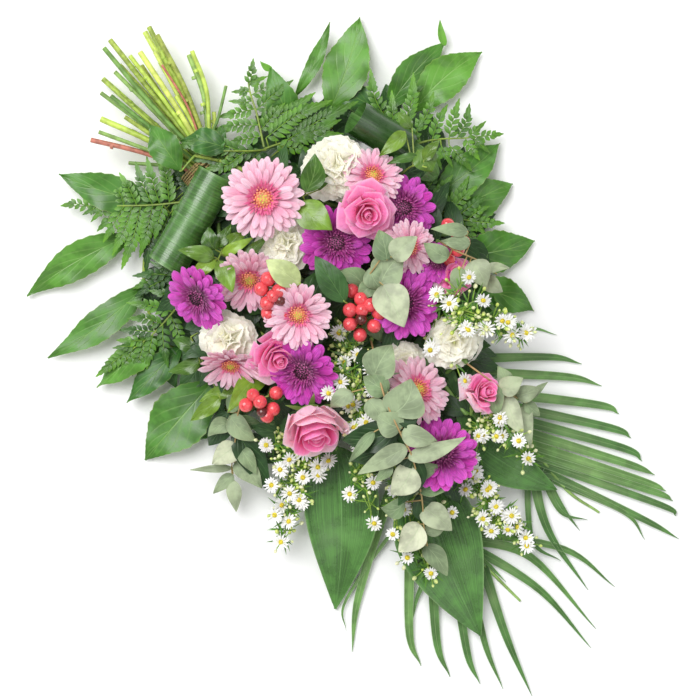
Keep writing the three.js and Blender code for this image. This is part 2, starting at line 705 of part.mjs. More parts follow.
const BLOOMS = [
  ...bunches([[1, -77, 64, 112, 18, 9, 55], [2, 10, 42, 98, 18, 9, 130]]),
  ...gerberas(PINK, [[1, -91, 159, 100, 41, 6, 270]]),
  ...roses([[1, 13, 152, 84, 31, 16, 300]]),
  ...gerberas(PINK, [[4, -52, 40, 104, 36, 20, 250]]),
  ...carnations([[1, -16, 190, 72, 31, 8, 90]]),
  ...gerberas(PURPLE, [[2, -18, 113, 86, 37, 14, 320], [1, 53, 147, 90, 36, 26, 20]]),
  ...gerberas(PURPLE, [[4, -49, -15, 92, 35, 34, 215]]),
  ...roses([[3, -42, -68, 70, 31, 34, 285]]),
  ...gerberas(PURPLE, [[5, 48, 46, 88, 37, 12, 10], [6, 91, -95, 84, 38, 18, 60]]),
  ...gerberas(PINK, [[7, 64, -37, 84, 37, 28, 20], [3, -104, 78, 84, 36, 30, 262]]),
  ...gerberas(PURPLE, [[3, -154, 60, 84, 34, 28, 275]]),
  ...gerberas(PINK, [[2, 22, 182, 92, 34, 24, 50, true]]),
  ...bunches([[3, -94, -46, 80, 15, 6, 120], [4, 104, 116, 88, 14, 6]]),
  ...roses([[2, -80, 4, 66, 29, 22, 300]]),
  ...carnations([[2, -66, 112, 70, 26, 4, 0], [3, -125, 12, 68, 26, 14, 230]]),
  ...gerberas(PINK, [[5, -132, -14, 66, 31, 54, 265], [6, 51, 110, 78, 29, 20, 350, true]]),
  ...carnations([[4, 102, 16, 66, 25, 10, 20]]),
  ...roses([[4, 116, -42, 64, 24, 32, 0], [5, 99, 66, 62, 20, 20, 20]]),
  ...gerberas(PURPLE, [[7, 86, 84, 76, 23, 20, 60, true]]),
  ...carnations([[5, 52, 0, 62, 18, 10, 300]]),
];
for (const [kind, material, bloom] of BLOOMS) addBloom(kind, bloom, material);

// Leafy stems between the blooms; leaves: [place on the stem, heading, length, width, pitch]
leafyStem({
  name: 'sprig_left', material: SPRIG_GREEN, outline: OVATE,
  stem: [vec(-124, 122, 62), vec(-128, 106, 78), vec(-132, 94, 88)],
  leaves: [[1, 165, 36, 17, 6], [0.98, 215, 34, 17, 0], [0.96, 300, 32, 19, 4], [0.8, 100, 28, 19, 12],
    [0.7, 40, 34, 14, 10], [0.5, 62, 26, 18, 0]],
});
leafyStem({
  name: 'sprig_middle', material: SPRIG_GREEN, outline: OVATE,
  stem: [vec(-44, 140, 60), vec(-47, 150, 84), vec(-50, 158, 98)],
  leaves: [[1, 72, 36, 23, 4], [0.95, 330, 38, 27, 0], [0.8, 262, 26, 20, 4]],
});
leafyStem({
  name: 'sprig_lower_left', material: SPRIG_GREEN, outline: OVATE,
  stem: [vec(-118, 34, 40), vec(-150, 24, 44), vec(-162, 18, 46)],
  leaves: [[1, 235, 48, 17, 0], [0.8, 255, 40, 16, 0], [0.6, 120, 26, 18, 10]],
});
leafyStem({
  name: 'sprig_top_right', material: SPRIG_GREEN, outline: OVATE,
  stem: [vec(44, 176, 56), vec(58, 186, 78), vec(72, 184, 90)],
  leaves: [[0.7, 110, 30, 16, 0], [0.9, 40, 32, 20, 0], [1, 340, 34, 20, 0], [1, 290, 26, 16, 0]],
});
leafyStem({
  name: 'eucalyptus_long', material: GREY_GREEN, outline: ROUND,
  stem: [vec(18, 14, 66), vec(24, -16, 104), vec(32, -45, 112), vec(46, -76, 112), vec(57, -98, 108),
    vec(67, -137, 80), vec(70, -168, 58), vec(74, -190, 44)],
  leaves: [[0.22, 352, 36, 36, 0], [0.3, 205, 32, 24, -8], [0.34, 8, 42, 36, 0], [0.44, 62, 38, 30, 4],
    [0.5, 350, 38, 26, 4], [0.58, 20, 56, 18, 10], [0.58, 205, 54, 21, -4], [0.64, 258, 34, 32, -10],
    [0.72, 342, 34, 25, 0], [0.74, 214, 40, 20, 0], [0.84, 322, 38, 28, 0], [0.9, 236, 38, 27, -6],
    [1, 296, 36, 20, -8]],
});
leafyStem({
  name: 'eucalyptus_left', material: GREY_GREEN, outline: ROUND,
  stem: [vec(-104, -34, 50), vec(-114, -56, 46), vec(-118, -86, 36), vec(-122, -112, 26)],
  leaves: [[0.25, 330, 32, 22, 4], [0.4, 300, 36, 26, 4], [0.6, 286, 42, 22, 2], [0.75, 184, 32, 28, 6],
    [0.85, 312, 50, 19, -4], [1, 276, 46, 15, -10], [0.95, 196, 40, 8, -6], [0.35, 210, 30, 20, 0]],
});
leafyStem({
  name: 'eucalyptus_middle', material: GREY_GREEN, outline: ROUND,
  stem: [vec(4, 66, 66), vec(14, 76, 98), vec(30, 98, 108)],
  leaves: [[1, 112, 36, 34, 2], [0.98, 12, 38, 27, 6], [0.75, 18, 40, 34, 8], [0.6, 240, 28, 26, 0],
    [0.62, 292, 46, 34, 4]],
});
leafyStem({
  name: 'eucalyptus_right', material: GREY_GREEN, outline: ROUND,
  stem: [vec(112, -8, 60), vec(131, -22, 66), vec(156, -39, 56), vec(180, -51, 44)],
  leaves: [[0.4, 45, 32, 24, 4], [0.5, 245, 30, 26, 0], [0.68, 84, 30, 27, 4], [0.72, 266, 44, 20, -6],
    [0.92, 280, 46, 16, -8], [0.88, 62, 32, 19, 0], [1, 45, 24, 8, 0]],
});
leafyStem({
  name: 'eucalyptus_top_right', material: GREY_GREEN, outline: ROUND,
  stem: [vec(86, 112, 60), vec(100, 102, 96), vec(124, 92, 84), vec(142, 80, 66)],
  leaves: [[0.33, 40, 42, 14, 6], [0.4, 8, 40, 14, 4], [0.36, 200, 34, 19, 4], [0.72, 290, 36, 27, 0],
    [0.92, 318, 30, 20, 0], [0.95, 12, 30, 8, 0]],
});

asterSpray({
  name: 'aster_spray_left', material: ASTER_WHITE, seed: 51,
  stem: [vec(-58, -92, 36), vec(-54, -118, 36), vec(-62, -155, 30), vec(-70, -186, 22)],
  florets: [[-87, -90], [-64, -104], [-24, -106], [-50, -122], [-35, -120], [-81, -130], [-63, -138],
    [-72, -150], [-52, -148], [-64, -167], [-72, -188]],
});
asterSpray({
  name: 'aster_spray_middle', material: ASTER_WHITE, seed: 52,
  stem: [vec(-12, 20, 60), vec(0, -24, 82), vec(8, -74, 78), vec(4, -128, 44)],
  florets: [[5, 0], [18, -14], [19, -34], [13, -66], [-12, -26], [-14, 22], [-6, -50], [6, -90],
    [-3, -138], [20, -126]],
});
asterSpray({
  name: 'aster_spray_right', material: ASTER_WHITE, seed: 53,
  stem: [vec(80, 46, 66), vec(108, 44, 98), vec(142, 31, 80), vec(174, 22, 60)],
  florets: [[84, 60], [127, 54], [112, 76], [94, 50], [130, 26], [146, 34], [156, 20], [174, 22],
    [112, 24], [78, 8]],
});
asterSpray({
  name: 'aster_spray_far_right', material: ASTER_WHITE, seed: 54, radius: 7,
  stem: [vec(124, -62, 54), vec(138, -68, 54), vec(160, -88, 46), vec(175, -102, 40)],
  florets: [[145, -62], [147, -80], [175, -103], [128, -80], [162, -84]],
});
asterSpray({
  name: 'aster_spray_lower_right', material: ASTER_WHITE, seed: 55,
  stem: [vec(108, -118, 48), vec(126, -136, 44), vec(147, -164, 36), vec(174, -190, 26)],
  florets: [[122, -116], [112, -134], [136, -132], [143, -152], [158, -160], [130, -163], [138, -175],
    [155, -174], [174, -191]],
});
asterSpray({
  name: 'aster_spray_bottom', material: ASTER_WHITE, seed: 56, radius: 7,
  stem: [vec(44, -118, 50), vec(54, -152, 46), vec(64, -190, 36), vec(78, -216, 26)],
  florets: [[98, -156], [50, -150], [78, -218], [54, -202], [40, -134]],
});

// The bound stems and their twine
const forward = heading(TIE_AXIS_DEG);
const across = heading(TIE_AXIS_DEG + 90);
const inBundle = (along, sideways, height) => TIE.clone()
  .addScaledVector(forward, along).addScaledVector(across, sideways).add(vec(0, 0, height));

// The seats of a number of stems in the bundle: in three layers, side by side in the order in
// which the stems fan out.
const LAYER_HEIGHT = 8.5;
const RUN_HEIGHT = 39;
const STEM_PIECES = 3; // straight pieces of a bloom's stem

function seatsFor(targets) {
  const turnOf = (target) => {
    const bearing = target.clone().sub(TIE).setZ(0).normalize();
    return Math.atan2(bearing.dot(across), Math.abs(bearing.dot(forward)));
  };
  const order = targets.map((_, i) => i).sort((p, q) => turnOf(targets[p]) - turnOf(targets[q]));
  const seats = [];
  order.forEach((which, rank) => {
    const share = targets.length > 1 ? rank / (targets.length - 1) : 0.5;
    const height = LAYER_HEIGHT * ((rank % 3) - 1);
    seats[which] = { sideways: BUNDLE_HALF_WIDTH * 0.78 * (2 * share - 1) * (height ? 0.84 : 1), height };
  });
  return seats;
}

function stemRoute(anchor, seat, run, bend) {
  const start = anchor.point.clone().addScaledVector(anchor.down, CLEARANCE);
  const below = start.clone().addScaledVector(anchor.down, 9);
  const gather = inBundle(32, seat.sideways * 1.05, seat.height);
  const side = vec(gather.y - start.y, start.x - gather.x, 0).normalize();
  const between = (share) => below.clone().lerp(gather, share).setZ(run)
    .addScaledVector(side, bend * Math.sin(Math.PI * share));
  const far = Math.hypot(start.x - gather.x, start.y - gather.y) > 45;
  const turn = far ? [between(0.3), between(0.7)] : [];
  return [start, below, ...turn, gather, inBundle(18, seat.sideways, seat.height)];
}

// A bloom's stem runs under the others to the tie, as high and as straight as it can.
function mainStem(anchor, seat) {
  for (const shift of [0, 3, -3, 7, -7, 14]) {
    for (const bend of [0, 12, -12, 24, -24]) {
      const line = stemRoute(anchor, seat, RUN_HEIGHT + 0.85 * seat.height + shift, bend);
      const stem = tube(line, STEM_RADIUS * 0.9, 3, STEM_PIECES);
      if (clear(stem)) return { stem, line };
    }
  }
  return null;
}

const placesAlong = (line, pieces, count) => {
  const place = placesOn(line, pieces);
  return Array.from({ length: count }, (_, i) => place((i + 1) / count));
};

// Any other stem joins the stem that it can reach with the shortest way to the tie.
function sideStem(anchor, goals) {
  const start = anchor.point.clone().addScaledVector(anchor.down, CLEARANCE);
  const below = start.clone().addScaledVector(anchor.down, 5);
  const cost = (goal) => start.distanceTo(goal) + 0.4 * goal.distanceTo(TIE);
  const near = goals.filter((goal) => start.distanceTo(goal) > 8).sort((p, q) => cost(p) - cost(q));
  for (const sag of [0, 7, -7, 14, -14]) {
    for (const goal of near.slice(0, 160)) {
      const middle = below.clone().lerp(goal, 0.5).add(vec(0, 0, sag));
      const line = sag ? [start, below, middle, goal] : [start, below, goal];
      const pieces = line.length - 1;
      const stem = tube(line, 1.7, 3, pieces);
      if (clear(stem)) return { stem, line, pieces };
    }
  }
  return null;
}

// The cut ends fan out behind the twine: [x, y] of each end.
const CUT_ENDS = [
  [-262, 215], [-254, 223], [-253, 236], [-252, 262], [-242, 258], [-250, 275], [-249, 307], [-243, 314],
  [-233, 289], [-223, 298], [-213, 302], [-212, 288], [-206, 326], [-196, 319], [-184, 301], [-163, 302],
  [-126, 268], [-227, 239], [-222, 223], [-224, 192], [-208, 255], [-192, 255], [-176, 290], [-238, 246],
];

function cutStem([x, y], seat, random) {
  const start = inBundle(-12, seat.sideways, seat.height);
  const thick = STEM_RADIUS * (0.85 + 0.3 * random());
  const drift = 3 * (random() - 0.5);
  const height = 23 + 1.4 * seat.height + drift;
  const made = [0, 5, 10, -5, 15, 20].map((lift) => tube([start, vec(x, y, height + lift)], thick, 3, 1));
  return made.find(clear) ?? made[0];
}

function boundStems() {
  const random = seeded(7);
  const barrel = turned([[0, -15], [0.78, -15], [1, -6], [1, 8], [0.86, 22], [0, 22]], 8)
    .scale([BUNDLE_HALF_HEIGHT, BUNDLE_HALF_WIDTH, 1]).rotate(0, 90, 0).rotate(0, 0, TIE_AXIS_DEG)
    .translate(TIE.x, TIE.y, TIE.z);
  const cutSeats = seatsFor(CUT_ENDS.map(([x, y]) => vec(x, y, 0)));
  const cut = CUT_ENDS.map((end, i) => cutStem(end, cutSeats[i], random));
  const anchors = placed.map(({ anchor }) => anchor).filter(Boolean);
  const blooms = anchors.filter((anchor) => anchor.main);
  const seats = seatsFor(blooms.map(({ point }) => point));
  const main = blooms.map((anchor, i) => mainStem(anchor, seats[i])).filter(Boolean);
  const goals = main.flatMap(({ line }) => placesAlong(line, STEM_PIECES, 18));
  const toTie = (anchor) => anchor.point.distanceTo(TIE);
  const others = anchors.filter((anchor) => !anchor.main).sort((p, q) => toTie(p) - toTie(q));
  const side = [];
  for (const anchor of others) {
    const found = sideStem(anchor, goals);
    if (found) {
      side.push(found.stem);
      goals.push(...placesAlong(found.line, found.pieces, 6).slice(1));
    }
  }
  return largest(union([barrel, ...cut, ...main.map(({ stem }) => stem), ...side]));
}

function twine() {
  const loop = new THREE.Shape();
  const inner = [BUNDLE_HALF_HEIGHT + 0.6, BUNDLE_HALF_WIDTH + 0.6];
  loop.absellipse(0, 0, inner[0] + TWINE_THICKNESS, inner[1] + TWINE_THICKNESS, 0, 2 * Math.PI, false);
  const hole = new THREE.Path();
  hole.absellipse(0, 0, ...inner, 0, 2 * Math.PI, true);
  loop.holes.push(hole);
  const options = { depth: TWINE_WIDTH, bevelEnabled: false, curveSegments: 8 };
  const geometry = new THREE.ExtrudeGeometry(loop, options).translate(0, 0, -TWINE_WIDTH / 2);
  geometry.rotateY(Math.PI / 2).rotateZ(radians(TIE_AXIS_DEG)).translate(TIE.x, TIE.y, TIE.z);
  return pressed(solidOf(geometry));
}

keep('twine', twine(), TWINE_STRAW, null);
keep('bound_stems', boundStems(), STEM_GREEN, null);

const arrangement = new THREE.Group();
arrangement.name = 'funeral_spray';
for (const { name, solid, material } of placed) arrangement.add(meshOf(name, solid, material));

export default arrangement;
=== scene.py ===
"""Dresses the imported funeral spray: petals, leaves, berries and stems, each from its own mesh.

Shapes are worked out in millimetres in the part's own frame, and turned into metres when a
mesh is made. Every blade carries four marks for its finish: along (0 at its base, 1 at its tip),
across (-1 to 1, 0 at its midrib), tone (one value for the whole blade) and under (1 below).
"""
import math

import bpy
import numpy as np
from mathutils import Matrix, Vector


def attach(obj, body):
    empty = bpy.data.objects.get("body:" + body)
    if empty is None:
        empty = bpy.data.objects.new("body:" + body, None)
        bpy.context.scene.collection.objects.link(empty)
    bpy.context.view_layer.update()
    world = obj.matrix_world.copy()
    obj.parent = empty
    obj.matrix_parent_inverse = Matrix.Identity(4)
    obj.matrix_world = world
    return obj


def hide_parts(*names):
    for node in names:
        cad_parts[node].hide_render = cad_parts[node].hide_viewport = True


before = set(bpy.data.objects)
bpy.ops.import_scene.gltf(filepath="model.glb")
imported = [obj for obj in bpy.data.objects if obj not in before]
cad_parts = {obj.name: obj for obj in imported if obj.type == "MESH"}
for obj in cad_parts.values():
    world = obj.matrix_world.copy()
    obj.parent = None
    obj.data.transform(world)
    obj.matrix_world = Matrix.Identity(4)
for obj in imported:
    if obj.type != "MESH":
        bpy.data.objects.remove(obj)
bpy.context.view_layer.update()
scene = bpy.context.scene
MM = 0.001
UP = np.array([0.0, 0.0, 1.0])

# ---------------------------------------------------------------- camera, light and floor
EYE = np.array([-3.0, 5.0, 2440.0])  # straight above the spray, in mm
SHARP_HEIGHT = 40.0  # where a pixel of the picture is one millimetre
HALF_PICTURE = 350.0


def seen(u, v, z):
    """The point at height z that the camera sees at pixel (u, v) of the picture, in mm."""
    share = (EYE[2] - z) / (EYE[2] - SHARP_HEIGHT)
    return np.array([EYE[0] + (u - HALF_PICTURE) * share, EYE[1] + (HALF_PICTURE - v) * share, z])


def aimed(item, place, target):
    """Puts a light in the scene at a place, facing a target, both in metres."""
    item.location = place
    item.rotation_euler = (Vector(target) - Vector(place)).to_track_quat("-Z", "Y").to_euler()
    scene.collection.objects.link(item)


lens = bpy.data.cameras.new("camera")
lens.sensor_width = 36.0
lens.lens = lens.sensor_width * (EYE[2] - SHARP_HEIGHT) / (2 * HALF_PICTURE)
lens.clip_end = 20.0
camera = bpy.data.objects.new("camera", lens)
camera.location = EYE * MM
scene.collection.objects.link(camera)
scene.camera = camera
scene.view_settings.view_transform = "Standard"

LAMPS_FACE = (0.0, 0.0, 0.04)  # in metres
# name, place, width of the light in metres, power in watts
LAMPS = [
    ("window_light", (-1.3, 1.3, 2.9), 2.6, 112.0),
    ("far_light", (1.9, -0.9, 2.4), 2.2, 15.0),
    ("low_light", (0.2, -2.6, 1.5), 2.0, 6.0),
]
for name, place, width, power in LAMPS:
    lamp = bpy.data.lights.new(name, "AREA")
    lamp.shape = "DISK"
    lamp.size = width
    lamp.energy = power
    aimed(bpy.data.objects.new(name, lamp), place, LAMPS_FACE)

sky = bpy.data.worlds.new("studio")
sky.use_nodes = True
sky_light = sky.node_tree.nodes["Background"].inputs
sky_light["Color"].default_value = (1.0, 1.0, 1.0, 1.0)
sky_light["Strength"].default_value = 0.46
scene.world = sky


# ---------------------------------------------------------------- shape tools
def unit(vector):
    vector = np.asarray(vector, float)
    return vector / max(float(np.linalg.norm(vector)), 1e-9)


def heading(degrees):
    angle = math.radians(degrees)
    return np.array([math.cos(angle), math.sin(angle), 0.0])


def turn(degrees, axis):
    return np.array(Matrix.Rotation(math.radians(degrees), 3, axis))


def seat(x, y, z, lean, to, spin):
    """Stands a bloom that was made round the Z axis at its place, leaning towards a heading."""
    pose = turn(to, "Z") @ turn(lean, "Y") @ turn(spin - to, "Z")
    return lambda points: points @ pose.T + np.array([x, y, z])


def facing(way, spot, spin=0.0):
    """Sets a small part that was made round the Z axis at a spot, with its top facing a way."""
    pose = np.array(Vector((0, 0, 1)).rotation_difference(Vector(way)).to_matrix()) @ turn(spin, "Z")
    return lambda points: points @ pose.T + spot


def fanned(points, degrees):
    return points @ turn(degrees, "Z").T


def smooth_line(points, steps=6):
    """A smooth line through the points."""
    points = np.asarray(points, float)
    if len(points) == 2:
        share = np.linspace(0, 1, steps + 1)[:, None]
        return points[0] * (1 - share) + points[1] * share
    padded = np.vstack([2 * points[0] - points[1], points, 2 * points[-1] - points[-2]])
    line = []
    for a, b, c, d in zip(padded, padded[1:], padded[2:], padded[3:]):
        for t in np.arange(steps) / steps:
            line.append(0.5 * (2 * b + (c - a) * t + (2 * a - 5 * b + 4 * c - d) * t**2
                               + (3 * b - a - 3 * c + d) * t**3))
    line.append(points[-1])
    return np.array(line)


def ring_round(place, radius, way, side, sides):
    """A ring of points round a place, at right angles to the way, the first one towards the side."""
    angle = 2 * math.pi * np.arange(sides) / sides
    across = np.outer(np.cos(angle), side) + np.outer(np.sin(angle), np.cross(way, side))
    return place + radius * across


# outlines of leaves: half their width along them, as a share of the widest
def ovate(t):
    return np.sin(math.pi * t**0.78) ** 0.85


def lance(t):
    return np.sin(math.pi * t**0.62) ** 0.9


def oblong(t):
    return np.sin(math.pi * np.clip(t, 0, 1) ** 0.9) ** 0.4


def elliptic(t):
    return np.sin(math.pi * t**0.9) ** 1.05


def heart(t):
    return np.sin(math.pi * t**0.64) ** 0.8


def grown_together(t):
    return (1 - t) ** 0.75 * np.minimum(1, 8 * t)


def leaf(base, tip, width, outline=ovate, arch=0.0, sway=0.0, fold=0.12, wave=0.0, waves=3.0,
         phase=0.0, teeth=0, depth=0.09, twist=0.0, curl=0.0, rows=14, columns=7):
    """A leaf from base to tip as a grid of points, with its edges folded up from the midrib."""
    base, tip = np.asarray(base, float), np.asarray(tip, float)
    ahead = unit(tip - base)
    side = unit(np.cross(UP, ahead))
    normal = np.cross(ahead, side)
    t = (0.5 - 0.5 * np.cos(math.pi * np.linspace(0, 1, rows)))[:, None, None] ** 0.9
    s = np.linspace(-1, 1, columns)[None, :, None]
    bow = 4 * t * (1 - t)
    half = 0.5 * width * np.maximum(outline(np.clip(t, 1e-4, 1 - 1e-4)), 0.03)
    if teeth:
        half = half * (1 - depth * (1 - (t * teeth) % 1.0) * s**2)
    lift = fold * half * np.abs(s) + wave * np.abs(s) * np.sin(2 * math.pi * waves * t + phase + s)
    angle = np.radians(twist) * t
    middle = base + (tip - base) * t + normal * (arch * bow - curl * t**4) + side * (sway * bow)
    return (middle + side * (half * s * np.cos(angle) - lift * np.sin(angle))
            + normal * (lift * np.cos(angle) + half * s * np.sin(angle)))


LOWEST = 0.7  # how close to the floor the middle of a leaf may come, in mm
THIN_RIM = 0.35  # thickness of a blade's rim, as a share of its own
SHARP_ANGLE = math.radians(58)


class Piece:
    """What one node of the part shows: closed blades and stems, gathered into one mesh."""

    def __init__(self):
        self.points, self.quads, self.corners, self.finishes, self.marks = [], [], [], [], []
        self.names = []
        self.size = 0

    def _add(self, points, quads, corners, finish, marks):
        if finish not in self.names:
            self.names.append(finish)
        self.points.append(points)
        self.quads.append(quads + self.size)
        self.corners.append(corners + self.size)
        self.finishes.append((self.names.index(finish), len(quads), len(corners)))
        self.marks.append(marks)
        self.size += len(points)

    def blade(self, grid, thickness, finish, tone, lowest=None):
        """A thin closed blade round a grid of points, which are raised to lowest if it is given."""
        if lowest is not None:
            grid[..., 2] = np.maximum(grid[..., 2], lowest)
        rows, columns = grid.shape[:2]
        normal = np.cross(np.gradient(grid, axis=0), np.gradient(grid, axis=1))
        length = np.linalg.norm(normal, axis=2, keepdims=True)
        normal = np.where(length > 1e-7, normal / np.maximum(length, 1e-7), unit(normal.sum((0, 1))))
        share = np.ones((rows, columns, 1))
        share[[0, -1]] = share[:, [0, -1]] = THIN_RIM
        half = normal * share * thickness / 2
        points = np.concatenate([(grid + half).reshape(-1, 3), (grid - half).reshape(-1, 3)])
        number = rows * columns
        index = np.arange(number).reshape(rows, columns)
        top = np.stack([index[:-1, :-1], index[1:, :-1], index[1:, 1:], index[:-1, 1:]], -1).reshape(-1, 4)
        rim = np.concatenate([index[:-1, 0], index[-1, :-1], index[:0:-1, -1], index[0, :0:-1]])
        after = np.roll(rim, -1)
        edge = np.stack([after, rim, rim + number, after + number], -1)
        quads = np.concatenate([top, top[:, ::-1] + number, edge])
        t, s = np.meshgrid(np.linspace(0, 1, rows), np.linspace(-1, 1, columns), indexing="ij")
        flat = np.stack([t.ravel(), s.ravel(), np.full(number, tone), np.zeros(number)], -1)
        below = flat.copy()
        below[:, 3] = 1.0
        self._add(points, quads, np.zeros((0, 3), int), finish, np.concatenate([flat, below]))

    def body(self, rings, finish, tone):
        """A closed round body through rings of points, counter-clockwise seen from its end."""
        count, sides = rings.shape[:2]
        number = count * sides
        points = np.concatenate([rings.reshape(-1, 3), [rings[0].mean(0)], [rings[-1].mean(0)]])
        index = np.arange(number).reshape(count, sides)
        after = np.roll(index, -1, axis=1)
        quads = np.stack([index[:-1], after[:-1], after[1:], index[1:]], -1).reshape(-1, 4)
        first = np.stack([np.full(sides, number), after[0], index[0]], -1)
        last = np.stack([np.full(sides, number + 1), index[-1], after[-1]], -1)
        t = np.concatenate([np.repeat(np.linspace(0, 1, count), sides), [0, 1]])
        s = np.concatenate([np.tile(np.cos(2 * math.pi * np.arange(sides) / sides), count), [0, 0]])
        marks = np.stack([t, s, np.full(number + 2, tone), np.zeros(number + 2)], -1)
        self._add(points, quads, np.concatenate([first, last]), finish, marks)

    def stem(self, points, radius, finish, tone, sides, steps=4):
        """A round stem along a smooth line; radius is one number, or one for each end."""
        line = smooth_line(points, steps)
        ahead = np.gradient(line, axis=0)
        ahead /= np.maximum(np.linalg.norm(ahead, axis=1, keepdims=True), 1e-9)
        side = unit(np.cross(ahead[0], UP if abs(ahead[0][2]) < 0.9 else np.array([1.0, 0, 0])))
        radii = np.linspace(*np.broadcast_to(radius, 2), len(line))
        rings = []
        for place, way, r in zip(line, ahead, radii):
            side = unit(side - way * np.dot(side, way))
            rings.append(ring_round(place, r, way, side, sides))
        self.body(np.array(rings), finish, tone)

    def stalk(self, root, base, tip, rise, radius, finish, tone, sides, steps):
        """A leaf's stalk, bent up by rise, from its root on the stem to the base of the leaf and in."""
        points = [root, (root + base) / 2 + UP * rise, base, base + 0.06 * (tip - base)]
        self.stem(points, radius, finish, tone, sides, steps)

    def lathe(self, profile, place, finish, tone, sides, ripple=0.0, ribs=5):
        """A body turned round the Z axis from [radius, height] rows, and then placed."""
        angle = 2 * math.pi * np.arange(sides) / sides
        rings = []
        for r, z in profile:
            r = r * (1 + ripple * np.cos(ribs * angle))
            rings.append(np.stack([r * np.cos(angle), r * np.sin(angle), np.full(sides, float(z))], -1))
        self.body(place(np.array(rings)), finish, tone)

    def make(self, name, slot, *nodes):
        """The finished mesh, riding on the part in place of its nodes."""
        mesh = bpy.data.meshes.new(name)
        points = np.concatenate(self.points) * MM
        quads, corners = np.concatenate(self.quads), np.concatenate(self.corners)
        mesh.vertices.add(len(points))
        mesh.vertices.foreach_set("co", points.astype(np.float32).ravel())
        loops = np.concatenate([quads.ravel(), corners.ravel()])
        mesh.loops.add(len(loops))
        mesh.loops.foreach_set("vertex_index", loops.astype(np.int32))
        starts = np.concatenate([np.arange(len(quads)) * 4, len(quads) * 4 + np.arange(len(corners)) * 3])
        mesh.polygons.add(len(starts))
        mesh.polygons.foreach_set("loop_start", starts.astype(np.int32))
        which = np.concatenate([np.full(q, number) for number, q, _ in self.finishes]
                               + [np.full(c, number) for number, _, c in self.finishes])
        mesh.polygons.foreach_set("material_index", which.astype(np.int32))
        mesh.update(calc_edges=True)
        marks = np.concatenate(self.marks)
        for column, mark in enumerate(("along", "across", "tone", "under")):
            layer = mesh.attributes.new(mark, "FLOAT", "POINT")
            layer.data.foreach_set("value", marks[:, column].astype(np.float32))
        mesh.shade_smooth()
        mesh.set_sharp_from_angle(angle=SHARP_ANGLE)
        for finish in self.names:
            mesh.materials.append(FINISHES[finish])
        piece = bpy.data.objects.new(name, mesh)
        scene.collection.objects.link(piece)
        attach(piece, "root")
        if nodes:
            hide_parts(*nodes)


# ---------------------------------------------------------------- finishes
def dye(red, green, blue):
    """A finish's colour from its everyday values, 0 to 255."""
    linear = [((c / 255 + 0.055) / 1.055) ** 2.4 if c > 10 else c / 255 / 12.92 for c in (red, green, blue)]
    return (*linear, 1.0)


def put(tree, kind, inputs=None, **settings):
    """A node with its settings, and its inputs set or linked."""
    node = tree.nodes.new(kind)
    for key, value in settings.items():
        setattr(node, key, value)
    for key, value in (inputs or {}).items():
        if isinstance(value, bpy.types.NodeSocket):
            tree.links.new(value, node.inputs[key])
        else:
            node.inputs[key].default_value = value
    return node


def sums(tree, operation, *values):
    inputs = dict(enumerate(values))
    return put(tree, "ShaderNodeMath", inputs, operation=operation).outputs[0]


def mark(tree, name):
    return put(tree, "ShaderNodeAttribute", attribute_name=name).outputs["Fac"]


def ramped(tree, value, low, high, start=0.0, end=1.0):
    """A value that goes softly from start to end while the given one goes from low to high."""
    inputs = {"Value": value, "From Min": low, "From Max": high, "To Min": start, "To Max": end}
    return put(tree, "ShaderNodeMapRange", inputs, interpolation_type="SMOOTHSTEP").outputs["Result"]


def mixed(tree, share, first, second, blend="MIX"):
    inputs = {0: share, 6: first, 7: second}
    return put(tree, "ShaderNodeMix", inputs, data_type="RGBA", blend_type=blend).outputs[2]


def effect(name, inputs, outputs, make):
    """A shared effect with named inputs, each with its usual value, and named outputs."""
    group = bpy.data.node_groups.new(name, "ShaderNodeTree")
    for key, value in inputs.items():
        socket = group.interface.new_socket(key, in_out="INPUT", socket_type="NodeSocketFloat")
        socket.default_value = value
    for key in outputs:
        group.interface.new_socket(key, in_out="OUTPUT", socket_type="NodeSocketFloat")
    given = group.nodes.new("NodeGroupInput").outputs
    end = group.nodes.new("NodeGroupOutput")
    for key, socket in make(group, given).items():
        group.links.new(socket, end.inputs[key])
    return group


def leaf_veins(tree, given):
    """Side veins that slant from the midrib to the edge, and the midrib itself."""
    out = sums(tree, "ABSOLUTE", mark(tree, "across"))
    rows = sums(tree, "MULTIPLY", mark(tree, "along"), given["Pairs"])
    slant = sums(tree, "MULTIPLY", out, given["Slant"])
    place = sums(tree, "FRACT", sums(tree, "ADD", sums(tree, "SUBTRACT", rows, slant), 20.0))
    near = sums(tree, "SUBTRACT", 1.0, sums(tree, "ABSOLUTE", sums(tree, "MULTIPLY_ADD", place, 2.0, -1.0)))
    line = sums(tree, "POWER", near, given["Fineness"])
    fade = sums(tree, "MULTIPLY", line, ramped(tree, out, 1.0, 0.45))
    rib = ramped(tree, out, 0.0, given["Midrib width"], 1.0, 0.0)
    return {"Side veins": fade, "Midrib": rib}


def lengthwise_lines(tree, given):
    """Fine lines from base to tip, each a little uneven."""
    spot = put(tree, "ShaderNodeCombineXYZ", {
        "X": sums(tree, "MULTIPLY", mark(tree, "across"), given["Count"]),
        "Y": sums(tree, "MULTIPLY", mark(tree, "along"), given["Unevenness"]),
        "Z": sums(tree, "MULTIPLY", mark(tree, "tone"), 40.0),
    }).outputs[0]
    grain = put(tree, "ShaderNodeTexNoise", {"Vector": spot, "Scale": 1.0, "Detail": 1.0})
    return {"Lines": ramped(tree, grain.outputs["Fac"], 0.32, 0.68)}


def mottle(tree, given):
    """Soft uneven patches all over a surface."""
    place = put(tree, "ShaderNodeTexCoord").outputs["Object"]
    inputs = {"Vector": place, "Scale": given["Scale"], "Detail": 3.0, "Roughness": 0.6}
    grain = put(tree, "ShaderNodeTexNoise", inputs)
    return {"Patches": ramped(tree, grain.outputs["Fac"], 0.3, 0.7)}


